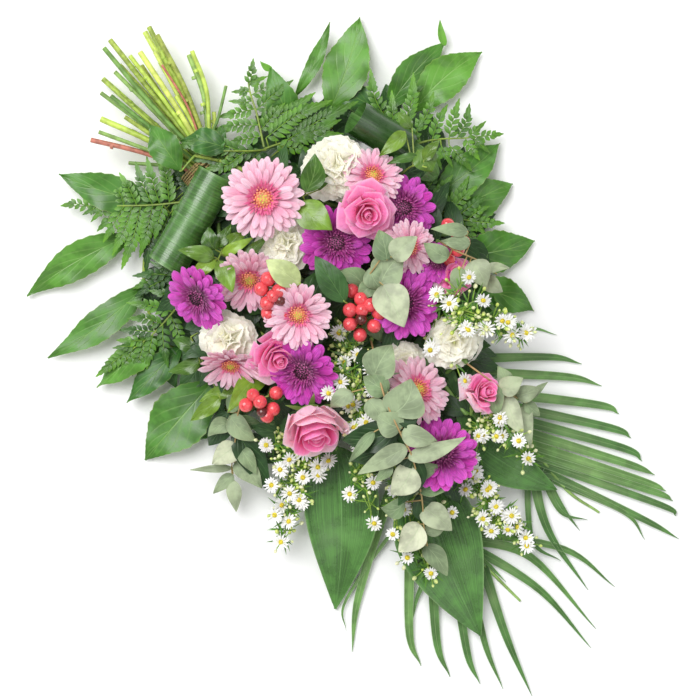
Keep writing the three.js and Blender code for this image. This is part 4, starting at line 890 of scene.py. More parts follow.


# ---------------------------------------------------------------- leafy branches
# each branch: its stem in mm; its leaves; dark leaves close to the ground, which carry on behind
# the ferns and whose dark finish also paints the shade under the spray; and thin curled tips. A leaf
# has the pixels of its base and tip, then its width, the height of its tip and its sway in mm, and
# its tone, from 0 dark to 1 light. A dark leaf has its width alone, and a curled tip has a height
# after each pixel, and its width.
BRANCHES = {
    "leaf_branch_left": ([
        (-150, 142, 20), (-185, 138, 8), (-212, 95, 2.2), (-200, 25, 2.2), (-146, -16, 2.4),
    ], [
        (163, 205, 59, 174, 38, 12, 4, 0.25), (136, 234, 27, 296, 37, 6, -5, 0.55),
        (150, 281, 48, 358, 33, 6, 6, 0.35), (160, 336, 97, 388, 36, 9, 0, 0.6),
        (183, 345, 127, 403, 30, 13, 0, 0.0), (214, 380, 145, 460, 60, 5, 0, 0.3),
        (226, 410, 199, 440, 14, 5, 3, 0.1),
    ], [
        (148, 250, 196, 262, 30), (146, 270, 190, 290, 32), (150, 300, 196, 322, 30),
        (153, 325, 200, 345, 30), (170, 352, 215, 360, 26), (150, 310, 142, 284, 20),
        (160, 340, 176, 388, 26), (205, 366, 238, 392, 26), (202, 362, 180, 392, 24),
        (206, 370, 222, 420, 30), (160, 225, 200, 222, 26), (170, 214, 160, 182, 24),
        (152, 240, 126, 222, 20), (172, 216, 183, 164, 24),
    ], []),
    "leaf_branch_top": ([(-98, 178, 20), (-68, 212, 8), (-18, 232, 2.2), (32, 246, 2.2), (66, 238, 2.4)], [
        (300, 138, 270, 66, 34, 20, 3, 0.25), (294, 98, 330, 22, 15, 9, -4, 0.5),
        (328, 114, 360, 17, 47, 5, -4, 0.6), (384, 112, 326, 84, 28, 4, 0, 0.0),
        (386, 112, 446, 42, 33, 7, 4, 0.3), (413, 112, 482, 52, 42, 5, 5, 0.75),
    ], [
        (290, 142, 255, 116, 28), (300, 138, 312, 96, 28), (320, 128, 345, 92, 24), (335, 124, 372, 98, 24),
        (285, 146, 244, 152, 28), (262, 172, 222, 162, 26), (360, 116, 340, 150, 30),
        (385, 110, 412, 142, 30), (400, 114, 386, 84, 24), (310, 134, 300, 172, 30),
        (292, 140, 268, 92, 26), (419, 117, 442, 168, 28), (408, 112, 436, 140, 26),
    ], [(445, 46, 8, 440, 19, 12, 8), (272, 70, 20, 260, 61, 22, 7)]),
    "leaf_branch_right": ([(60, 178, 20), (80, 158, 8), (104, 120, 2.2), (122, 70, 2.2)], [
        (433, 197, 500, 143, 40, 5, -3, 0.35), (450, 222, 513, 184, 42, 5, 5, 0.45),
        (457, 256, 535, 241, 44, 5, -3, 0.3), (468, 288, 534, 311, 36, 5, 5, 0.35),
        (440, 232, 476, 272, 30, 3, 0, 0.0), (462, 280, 500, 328, 30, 3, 0, 0.0),
    ], [
        (440, 205, 474, 168, 28), (433, 197, 448, 158, 26), (457, 235, 496, 214, 26),
        (465, 255, 500, 264, 24), (475, 285, 500, 302, 24), (452, 222, 425, 200, 26),
        (445, 210, 482, 190, 24), (436, 200, 464, 146, 30), (470, 270, 452, 304, 28),
    ], []),
    "collar_leaves": ([(-108, 184, 44), (-130, 193, 44), (-158, 199, 44)], [
        (181, 171, 150, 125, 33, 42, 0, 0.3), (230, 150, 181, 141, 29, 42, -3, 0.0),
        (218, 160, 222, 126, 13, 30, 0, 0.1),
    ], [], []),
}


def nearest(line, u, v):
    """The point of a line that the camera sees nearest to pixel (u, v)."""
    share = (EYE[2] - line[:, 2]) / (EYE[2] - SHARP_HEIGHT)
    right = HALF_PICTURE + (line[:, 0] - EYE[0]) / share
    down = HALF_PICTURE - (line[:, 1] - EYE[1]) / share
    return line[np.argmin(np.hypot(right - u, down - v))]


def leafy_branch(stem, leaves, dark_leaves, curled_tips, seed):
    """A branch along the ground, with its big serrated leaves on their stalks."""
    random = np.random.default_rng(seed)
    piece = Piece()
    piece.stem(stem, (2.2, 1.4), "olive stem", 0.3, 8)
    line = smooth_line(stem, 12)
    for u, v, u_tip, v_tip, width, height, sway, tone in leaves:
        root = nearest(line, u, v)
        base, tip = seen(u, v, root[2] + 2.4), seen(u_tip, v_tip, height)
        piece.stalk(root, base, tip, 1.0, (1.3, 0.9), "thin stem", 0.3, 6, 3)
        grid = leaf(base, tip, width * 1.04, elliptic, arch=7 + 4 * random.random(), sway=sway, fold=0.12,
                    wave=2.0, waves=2.6, phase=6 * random.random(), twist=16 * random.normal(), teeth=21,
                    rows=46, columns=9)
        piece.blade(grid, 0.9, "big leaf", tone, LOWEST)
    for u, v, u_tip, v_tip, width in dark_leaves:
        root = nearest(line, u, v)
        base, tip = seen(u, v, root[2] + 1), seen(u_tip, v_tip, 3 + 4 * random.random())
        piece.stem([root, (root + base) / 2 + UP * 0.5, base], 0.9, "thin stem", 0.1, 5, 2)
        grid = leaf(base, tip, width, elliptic, arch=4, sway=3 * random.normal(), fold=0.14, wave=1.4,
                    waves=2, phase=6 * random.random(), twist=20 * random.normal())
        piece.blade(grid, 0.7, "dark leaf", 0.4 * random.random(), LOWEST)
    for u, v, z, u_tip, v_tip, z_tip, width in curled_tips:
        base, tip = seen(u, v, z), seen(u_tip, v_tip, z_tip)
        piece.blade(leaf(base, tip, width, lance, arch=1, sway=1.5, fold=0.5, rows=10), 0.7, "big leaf", 1.0)
    return piece


for seed, (node, values) in enumerate(BRANCHES.items(), 61):
    leafy_branch(*values, seed).make(f"{node}_leaves", "leaf", node)


# ---------------------------------------------------------------- ferns
LEAFLET_PITCH = 5.9  # mm from one pair of leaflets to the next


def pinna(piece, root, tip, random, tone):
    """Two rows of oval leaflets that lean towards the tip, where they grow together."""
    span = float(np.linalg.norm(tip - root))
    way = unit(tip - root)
    level = unit(np.cross(UP, way))
    bend = 0.05 * span * random.normal()
    shade = min(1.0, max(0.0, tone + 0.22 * random.normal()))

    def middle(t):
        bow = math.sin(math.pi * t)
        return root + (tip - root) * t + level * bend * bow + UP * 2.0 * bow

    piece.stem([middle(0), middle(0.5), middle(1)], (0.6, 0.25), "thin stem", 0.1, 4, 3)
    parted = 0.62 if span > 24 else 0.4
    count = max(2, round(parted * span / LEAFLET_PITCH))
    for i in range(count):
        for side in (1, -1):
            t = parted * (i + 0.5 + 0.2 * side) / count
            long = (4.8 + 0.13 * span) * (1 - 0.6 * t) * min(1.0, 0.75 + 2.0 * t) + 1.0
            out = unit(level * side + way * (0.9 + 0.6 * t))
            start = middle(t) + out * 0.4
            end = start + out * long * (0.92 + 0.16 * random.random()) + UP * 0.4 * random.normal()
            blade = leaf(start, end, min(5.0, 1.6 + 0.36 * long), elliptic, arch=0.5, rows=7, columns=3)
            piece.blade(blade, 0.35, "fern leaf", min(1.0, shade + 0.12 * random.random()))
    lobes = max(3, round((1 - parted) * span / 4.2))
    end = leaf(middle(parted - 0.05), middle(1) + way * 2.0, 0.16 * span + 5.5, grown_together,
               arch=0.6, teeth=lobes, depth=0.42, rows=4 * lobes + 1, columns=5)
    piece.blade(end, 0.4, "fern leaf", shade)


def frond(piece, rachis, tone, pinnae, seed):
    """A twice-divided frond along its rachis, with its pinnae by their pixels."""
    random = np.random.default_rng(seed)
    points = [seen(*point) for point in rachis]
    line = smooth_line(points, 12)
    piece.stem(points, (1.2, 0.5), "thin stem", 0.4, 6, 8)
    for u, v, u_tip, v_tip in pinnae:
        root = nearest(line, u, v)
        base = seen(u, v, root[2])
        if np.linalg.norm(base - root) > 4:
            piece.stem([root, (root + base) / 2 + UP, base], 0.6, "thin stem", 0.3, 4, 3)
        else:
            base = root
        tip = seen(u_tip, v_tip, max(root[2] - 3 + 5 * random.random(), 2.0))
        pinna(piece, base, tip, random, tone)


# each frond: its rachis as u, v and height; its tone, from 0 bright to 1 dark; and its pinnae as
# u and v of the base and then of the tip
FERNS = {
    "fern_left": [
        ([(191, 201, 24), (153, 205, 22), (104, 206, 18), (66, 206, 13)], 0.15, [
            (168, 203, 158, 149), (152, 204, 136, 163), (138, 204, 120, 174), (126, 205, 110, 185),
            (112, 206, 95, 193), (100, 206, 86, 198), (178, 203, 176, 236), (163, 204, 155, 238),
            (152, 205, 140, 256), (143, 206, 122, 268), (134, 206, 113, 254), (124, 206, 104, 241),
            (115, 207, 98, 230), (106, 207, 92, 221), (96, 207, 84, 214), (92, 206, 62, 206),
            (160, 204, 147, 158),
        ]),
        ([(200, 196, 18), (186, 190, 16), (172, 166, 14)], 0.9, [
            (190, 194, 172, 164), (192, 190, 192, 162), (184, 200, 200, 176), (176, 190, 160, 172),
            (170, 214, 158, 250), (178, 214, 168, 262), (160, 214, 146, 272),
        ]),
    ],
    "fern_lower_left": [
        ([(201, 263, 26), (182, 300, 22), (153, 334, 18), (128, 352, 16), (104, 370, 13)], 0.4, [
            (180, 301, 150, 291), (172, 312, 128, 303), (163, 324, 129, 319), (155, 333, 120, 330),
            (146, 339, 118, 340), (137, 346, 114, 348), (132, 349, 97, 376), (163, 326, 168, 366),
            (153, 335, 147, 368), (144, 341, 133, 374), (134, 348, 122, 372), (172, 316, 186, 352),
        ]),
        ([(201, 263, 20), (176, 276, 18), (150, 280, 15)], 0.9, [
            (184, 271, 152, 262), (176, 276, 134, 276), (168, 278, 136, 296), (176, 280, 160, 306),
            (188, 276, 180, 310), (190, 268, 168, 254), (160, 279, 134, 288),
        ]),
    ],
    "ferns_top": [
        ([(264, 147, 28), (257, 115, 25), (250, 92, 21), (248, 75, 18), (251, 66, 16)], 0.1, [
            (248, 92, 233, 92), (250, 101, 230, 101), (253, 110, 219, 117), (258, 124, 213, 131),
            (261, 137, 226, 145), (249, 84, 266, 77), (251, 95, 279, 80), (259, 110, 292, 81),
            (262, 120, 314, 93), (248, 88, 253, 60), (260, 130, 284, 104),
        ]),
        ([(264, 149, 32), (284, 142, 29), (310, 134, 25)], 0.35, [
            (266, 138, 331, 101), (284, 140, 357, 102), (292, 140, 342, 134), (276, 146, 314, 151),
            (274, 136, 306, 112), (290, 142, 340, 120),
        ]),
        ([(266, 150, 34), (250, 151, 45), (230, 151, 51), (205, 151, 48)], 0.4, [
            (240, 150, 175, 148), (256, 149, 189, 159), (246, 152, 203, 170), (262, 152, 232, 172),
        ]),
    ],
    "ferns_right": [
        ([(397, 150, 28), (432, 140, 25), (465, 138, 21), (494, 135, 15)], 0.15, [
            (403, 127, 413, 74), (385, 118, 371, 70), (417, 131, 433, 93), (431, 140, 447, 106),
            (449, 136, 459, 100), (457, 137, 469, 105), (468, 137, 485, 122), (433, 149, 441, 168),
            (441, 145, 452, 166), (449, 145, 471, 170), (464, 141, 479, 159), (473, 140, 489, 152),
            (415, 148, 428, 172), (478, 137, 502, 134), (396, 140, 392, 92), (410, 142, 424, 116),
        ]),
        ([(414, 180, 26), (432, 205, 23), (462, 219, 19), (494, 223, 14)], 0.3, [
            (440, 211, 468, 177), (450, 215, 478, 186), (458, 218, 485, 197), (466, 220, 488, 207),
            (452, 217, 470, 243), (462, 220, 482, 250), (472, 221, 486, 236), (440, 213, 456, 240),
            (430, 203, 452, 176), (424, 196, 438, 170), (470, 221, 503, 223),
        ]),
    ],
}
for seed, (node, fronds) in enumerate(FERNS.items(), 71):
    piece = Piece()
    for number, values in enumerate(fronds):
        frond(piece, *values, seed * 10 + number)
    piece.make(f"{node}_fronds", "fern", node)


# ---------------------------------------------------------------- palms and broad leaves
# each palm: its rachis in mm, and its leaflets as start, middle and tip pixels of the picture,
# and their width in mm
PALMS = {
    "palm_frond_right": ([
        (98, 20, 22), (128, -18, 9), (170, -75, 2.6), (214, -134, 2.2), (250, -160, 1.6),
    ], [
        ((473, 357), (550, 357), (582, 364), 10), ((482, 373), (568, 377), (602, 386), 11),
        ((500, 392), (599, 405), (619, 414), 11), ((505, 405), (611, 428), (631, 438), 11),
        ((510, 418), (623, 448), (642, 461), 11), ((516, 432), (628, 464), (655, 475), 11),
        ((524, 446), (643, 481), (666, 491), 10), ((530, 456), (652, 491), (673, 501), 10),
        ((538, 466), (661, 505), (676, 516), 9), ((545, 476), (645, 520), (679, 539), 9),
        ((556, 484), (625, 513), (645, 540), 6), ((470, 330), (526, 328), (557, 335), 5),
        ((516, 488), (548, 530), (588, 590), 11), ((508, 480), (532, 539), (561, 561), 7),
        ((534, 489), (561, 512), (588, 520), 6), ((540, 488), (563, 508), (580, 531), 6),
    ]),
    "palm_frond_bottom": ([
        (40, -80, 24), (70, -134, 9), (108, -186, 2.6), (146, -226, 2.2), (170, -250, 1.6),
    ], [
        ((345, 560), (346, 600), (346, 631), 4), ((366, 500), (359, 594), (352, 652), 11),
        ((400, 500), (409, 626), (421, 666), 12), ((424, 520), (436, 635), (450, 677), 12),
        ((444, 540), (466, 647), (480, 684), 11), ((462, 560), (484, 640), (503, 689), 9),
        ((480, 570), (506, 636), (532, 696), 11), ((486, 530), (532, 558), (596, 629), 11),
        ((484, 545), (540, 590), (591, 648), 10), ((480, 524), (564, 549), (615, 587), 9),
        ((476, 548), (490, 566), (506, 582), 5), ((430, 560), (420, 590), (412, 622), 7),
    ]),
}
# places along a leaflet, and its width there as a share of the widest
PALM_WIDTHS = ([0, 0.16, 0.4, 0.7, 0.9, 1], [0.25, 0.85, 1, 0.68, 0.26, 0.04])


def palm(rachis, leaflets, seed):
    """A frond that lies on the surface, with long leaflets whose tips droop to it."""
    random = np.random.default_rng(seed)
    piece = Piece()
    line = smooth_line(rachis, 10)
    piece.stem(rachis, (3.0, 1.2), "green stem", 0.7, 8, 8)
    for start, middle, tip, width in leaflets:
        low = 1.6 + 1.6 * random.random()
        near = line[np.argmin(np.hypot(*(line[:, :2] - seen(*start, 3.0)[:2]).T))]
        root = near * 0.6 + seen(*start, near[2]) * 0.4
        bend = smooth_line([near, root + UP * 0.5, seen(*middle, low + 1.5), seen(*tip, low)], 8)
        side = np.cross(UP, np.gradient(bend, axis=0))
        side /= np.linalg.norm(side, axis=1, keepdims=True)
        t = np.linspace(0, 1, len(bend))[:, None, None]
        s = np.linspace(-1, 1, 7)[None, :, None]
        half = 0.5 * width * np.maximum(np.interp(t, *PALM_WIDTHS), 0.04)
        pleats = 0.34 * half * np.abs(s) + 0.25 * np.cos(3 * math.pi * s) * half * 0.1
        grid = bend[:, None] + side[:, None] * half * s + UP * pleats
        piece.blade(grid, 0.6, "palm leaf", 0.75 * random.random(), 0.6)
    return piece


for seed, (node, values) in enumerate(PALMS.items(), 81):
    palm(*values, seed).make(f"{node}_leaflets", "palm", node)

# base and tip in mm, width, arch and sway
BROAD_LEAVES = {
    "broad_leaf_left": ((-17, -92, 26), (-18, -258, 3), 76, 7, 6),
    "broad_leaf_middle": ((68, -126, 27), (129, -284, 10), 87, 7, -5),
    "broad_leaf_right": ((118, -84, 27), (206, -136, 15), 46, 4, -4),
}
for seed, (node, (base, tip, width, arch, sway)) in enumerate(BROAD_LEAVES.items(), 84):
    piece = Piece()
    base, tip = np.array(base, float), np.array(tip, float)
    ahead = tip - base
    piece.stem([base - 0.14 * ahead + UP * 3, base, base + 0.1 * ahead], (2.4, 1.2), "green stem", 0.4, 8)
    blade = leaf(base, tip, width, lance, arch=arch, sway=sway, fold=0.1, wave=1.8, waves=1.6, phase=seed,
                 twist=-8, rows=36, columns=13)
    piece.blade(blade, 1.0, "broad leaf", 0.3, 0.8)
    piece.make(f"{node}_blade", "broad_leaf", node)


def rolled_leaf(start, end, radius, stalk):
    """A broad leaf rolled into a loop round the line from start to end, and the grid of its blade."""
    start, end = np.array(start, float), np.array(end, float)
    ahead = unit(end - start)
    side = unit(np.cross(UP, ahead))
    up = np.cross(ahead, side)
    share = np.linspace(0, 1, 44)[:, None, None]
    level = np.linspace(0, 1, 15)[None, :, None]
    angle = np.radians(-120 + 410 * share)
    reach = radius * (1 - 0.2 * share) - 0.7
    taper = 0.05 * np.sin(2.2 * share + 1.0)
    flare = 1 + 0.05 * (2 * level - 1) ** 2
    along = taper + (1 - 2 * taper) * level
    grid = start + (end - start) * along + reach * flare * (np.cos(angle) * side + np.sin(angle) * up)
    piece = Piece()
    piece.stem(stalk, (2.4, 1.8), "green stem", 0.3, 8, 3)
    return piece, grid + up * 0.5 * np.sin(9 * level + 4 * share)


left_roll, grid = rolled_leaf((-187, 84, 50), (-131, 183, 60), 22, [(-138, 170, 42), (-150, 160, 43)])
left_roll.blade(grid, 1.1, "rolled leaf", 0.3)
left_roll.make("rolled_leaf_left_loop", "broad_leaf", "rolled_leaf_left")
top_roll, grid = rolled_leaf((0, 236, 60), (56, 204, 42), 20, [(26, 208, 26), (34, 219, 30)])
top_roll.blade(grid.transpose(1, 0, 2), 1.1, "rolled leaf", 0.4)
loose_end = leaf(seen(396, 144, 44), seen(437, 178, 34), 30, oblong, arch=4, fold=0.05, twist=20, rows=16,
                 columns=9)
top_roll.blade(loose_end, 0.9, "rolled leaf", 0.9)
top_roll.make("rolled_leaf_top_loop", "broad_leaf", "rolled_leaf_top")


# ---------------------------------------------------------------- leafy stems between the blooms
# each stem in mm, and its leaves: pixels where a leaf leaves its stalk and of its tip; its width
# and the rise of its tip in mm; and its tone, from 0 dark to 1 light
SPRIGS = {
    "sprig_left": ([(-124, 122, 62), (-128, 106, 78), (-132, 94, 88)], [
        (214, 257, 178, 250, 16, 6, 0.15), (216, 260, 189, 283, 14, 2, 0.75),
        (219, 261, 232, 292, 19, 16, 0.35), (216, 250, 209, 227, 17, 4, 0.0),
        (222, 254, 254, 237, 11, 6, 0.7), (226, 251, 246, 233, 15, 3, 0.3),
        (213, 246, 231, 224, 13, 1, 0.1), (240, 262, 268, 236, 12, -4, 0.1),
        (214, 262, 188, 278, 12, 0, 0.0),
    ]),
    "sprig_middle": ([(-44, 140, 60), (-47, 150, 84), (-50, 158, 98)], [
        (300, 203, 331, 229, 30, 22, 0.45), (306, 192, 315, 154, 23, 14, 0.0),
        (302, 214, 286, 226, 16, -2, 0.2), (318, 190, 336, 176, 12, -6, 0.1),
    ]),
    "sprig_lower_left": ([(-118, 34, 40), (-150, 24, 44), (-162, 18, 46)], [
        (265, 371, 228, 412, 23, 36, 0.5), (234, 390, 199, 402, 14, 0, 0.4),
        (220, 398, 190, 421, 16, -6, 0.4), (222, 380, 236, 404, 12, -2, 0.5),
        (270, 372, 244, 384, 14, 2, 0.3), (196, 350, 172, 340, 14, -4, 0.0),
        (200, 362, 168, 372, 15, -6, 0.1),
    ]),
    "sprig_top_right": ([(44, 176, 56), (58, 186, 78), (72, 184, 90)], [
        (405, 132, 379, 156, 15, 2, 0.35), (418, 150, 432, 172, 24, -2, 0.15),
        (417, 156, 387, 164, 9, 2, 0.0), (412, 128, 398, 112, 12, 0, 0.1), (424, 160, 440, 140, 12, 0, 0.2),
    ]),
    "eucalyptus_long": ([
        (18, 14, 70), (24, -16, 108), (32, -45, 116), (46, -76, 116), (57, -98, 112), (67, -137, 84),
        (70, -168, 62), (74, -190, 48),
    ], [
        (374, 377, 392, 345, 33, 2, 0.15), (392, 414, 411, 379, 40, 2, 0.2),
        (402, 428, 376, 414, 26, -2, 0.15), (402, 432, 437, 441, 21, 2, 0.35),
        (408, 458, 466, 437, 17, 4, 0.45), (407, 447, 358, 474, 20, -4, 0.3),
        (412, 466, 391, 495, 29, -8, 0.8), (419, 490, 453, 487, 16, -4, 0.0),
        (422, 507, 452, 531, 25, -4, 0.5), (420, 524, 399, 552, 27, -6, 0.9),
        (405, 502, 380, 508, 19, -6, 0.0), (425, 545, 447, 576, 20, -6, 0.1),
        (388, 392, 363, 376, 22, -6, 0.05), (372, 350, 352, 372, 24, -8, 0.0),
        (416, 478, 440, 466, 15, 0, 0.1), (396, 420, 420, 406, 26, -6, 0.0),
        (425, 532, 446, 520, 14, -4, 0.2), (365, 372, 400, 373, 5, 4, 0.2),
        (374, 432, 349, 463, 11, -6, 0.1), (368, 400, 384, 424, 20, -4, 0.2),
        (352, 392, 330, 408, 17, -10, 0.3), (391, 463, 375, 481, 12, -4, 0.1),
        (398, 420, 372, 472, 28, -22, 0.0), (412, 452, 398, 506, 28, -22, 0.0),
        (419, 494, 440, 524, 26, -22, 0.0), (424, 494, 452, 484, 10, 0, 0.9),
        (398, 432, 342, 440, 30, -22, 0.0), (405, 450, 352, 462, 28, -26, 0.0),
    ]),
    "eucalyptus_left": ([(-104, -34, 50), (-114, -56, 46), (-118, -86, 36), (-122, -112, 26)], [
        (230, 416, 255, 441, 21, 2, 0.1), (238, 446, 212, 464, 23, 2, 0.7), (232, 468, 190, 470, 8, 0, 0.3),
        (235, 462, 262, 488, 21, 2, 0.3), (232, 480, 236, 512, 15, -6, 0.4),
        (240, 448, 256, 474, 16, 3, 0.1), (232, 424, 208, 436, 17, -2, 0.2),
        (236, 432, 262, 424, 18, -2, 0.0), (233, 474, 213, 494, 13, -4, 0.2),
        (228, 410, 248, 396, 16, 0, 0.1), (236, 430, 270, 492, 28, -16, 0.0),
        (228, 412, 208, 446, 24, -24, 0.0), (236, 440, 292, 462, 28, -14, 0.0),
    ]),
    "eucalyptus_middle": ([(4, 66, 66), (14, 76, 98), (30, 98, 108)], [
        (387, 260, 379, 230, 25, 4, 0.1), (392, 257, 417, 237, 23, 10, 0.4),
        (381, 284, 403, 254, 33, 4, 0.3), (383, 285, 404, 327, 35, 6, 0.6),
        (376, 286, 359, 300, 17, 0, 0.1), (366, 288, 340, 270, 20, -2, 0.0),
        (370, 268, 384, 290, 20, -4, 0.1), (366, 318, 386, 344, 26, -8, 0.05),
    ]),
    "eucalyptus_right": ([(112, -8, 68), (131, -22, 74), (156, -39, 64), (180, -51, 52)], [
        (500, 390, 523, 378, 20, 4, 0.5), (506, 396, 524, 436, 20, 2, 0.6),
        (525, 404, 531, 447, 14, -4, 0.4), (516, 396, 540, 388, 17, 2, 0.3),
        (530, 398, 548, 382, 8, 0, 0.2), (494, 386, 498, 416, 19, -2, 0.05),
        (508, 388, 498, 366, 15, -2, 0.2), (524, 402, 540, 416, 13, -4, 0.2),
    ]),
    "eucalyptus_top_right": ([(86, 112, 60), (100, 102, 96), (124, 92, 84), (142, 80, 66)], [
        (468, 232, 431, 229, 13, 2, 0.15), (470, 243, 441, 241, 14, 2, 0.2),
        (448, 258, 424, 243, 18, 2, 0.1), (470, 262, 486, 287, 25, 2, 0.5),
        (484, 270, 510, 268, 10, -2, 0.4), (484, 278, 503, 292, 16, -2, 0.5),
        (462, 268, 452, 292, 18, -2, 0.2),
    ]),
}
HEART_LIFT = 2.5  # how far a eucalyptus stem is lifted to its leaves
DARK_WIDTH = 23  # a darkest eucalyptus leaf wider than this is a dark leaf underneath, its dark finish partly painted shade


def leafy_stem(stem, leaves, skin, bark, shape, seed):
    """A sprig or eucalyptus stem with its leaves, each on a thin stalk."""
    random = np.random.default_rng(seed)
    piece = Piece()
    lift = UP * (HEART_LIFT if shape is heart else 0.0)
    piece.stem([stem[0], *(np.array(stem[1:], float) + lift)], (1.0, 0.7), bark, 0.4, 7, 8)
    line = smooth_line(stem, 12)
    for u, v, u_tip, v_tip, width, rise, tone in leaves:
        root = nearest(line, u, v)
        base = seen(u, v, root[2] + 0.3 * rise + 1.0)
        tip = seen(u_tip, v_tip, root[2] + rise + 2 * random.random())
        piece.stalk(root, base, tip, -0.8, (0.8, 0.55), bark, 0.5, 5, 3)
        outline = shape if width > 0.5 * np.linalg.norm(tip - base) else lance
        covered = tone == 0.0 and shape is heart and width > DARK_WIDTH
        grid = leaf(base, tip, width * 1.04, outline, arch=3.5 * random.random() + 1.5,
                    fold=0.04 + 0.16 * random.random(), wave=1.7, waves=1.3, phase=6 * random.random(),
                    twist=24 * (random.random() - 0.5), curl=4 * random.random(), sway=2.5 * random.normal(),
                    rows=15, columns=9)
        tone = min(1.0, tone + 0.12 * random.random())
        piece.blade(grid, 0.7, "dark leaf" if covered else skin, tone, LOWEST)
    return piece


for seed, (node, values) in enumerate(SPRIGS.items(), 91):
    grey = node.startswith("eucalyptus")
    style = ("gum leaf", "gum stem", heart) if grey else ("sprig leaf", "thin stem", ovate)
    leafy_stem(*values, *style, seed).make(f"{node}_leaves", "eucalyptus" if grey else "sprig", node)


# ---------------------------------------------------------------- aster sprays
RAY_SHARES = np.array([0, 0.6, 1.0])[:, None]
RAY_WIDTHS = 0.95 * np.array([0.55, 1.05, 0.4])[:, None]


def aster(piece, head, way, radius, random):
    """Two rows of narrow white rays round a yellow disc of tiny florets."""
    place = facing(way, head, random.random() * 60)
    s = np.linspace(-1, 1, 3)[None, :]
    for count, reach, rise in [(13, 1.0, 0.10), (11, 0.9, 0.28)]:
        for i in range(count):
            far = radius * reach * (0.86 + 0.2 * random.random())
            x = 1.6 + (far - 1.6) * RAY_SHARES
            z = 0.6 + rise * x - 1.4 * random.random() * RAY_SHARES**2 + 0.25 * s**2
            ray = fanned(np.stack(np.broadcast_arrays(x, RAY_WIDTHS * s, z), -1),
                         360 * (i + 0.5 * random.random()) / count)
            piece.blade(place(ray), 0.3, "aster ray", random.random())
    piece.lathe([[0.8, -3.2], [1.8, -2.0], [2.4, 0.2], [1.6, 0.9]], place, "calyx", 0.5, 8)
    disc = [[2.2, 0.6], [2.7, 1.4], [2.0, 2.4], [0.9, 2.8]]
    piece.lathe(disc, place, "aster disc", 0.3 * random.random(), 9, ripple=0.08)


def bud(piece, spot, way, size, random):
    profile = [[size * 0.3, -size], [size * 0.85, -size * 0.5], [size, size * 0.3], [size * 0.6, size],
               [0.1, size * 1.35]]
    piece.lathe(profile, facing(way, spot), "bud", random.random(), 6, ripple=0.06)


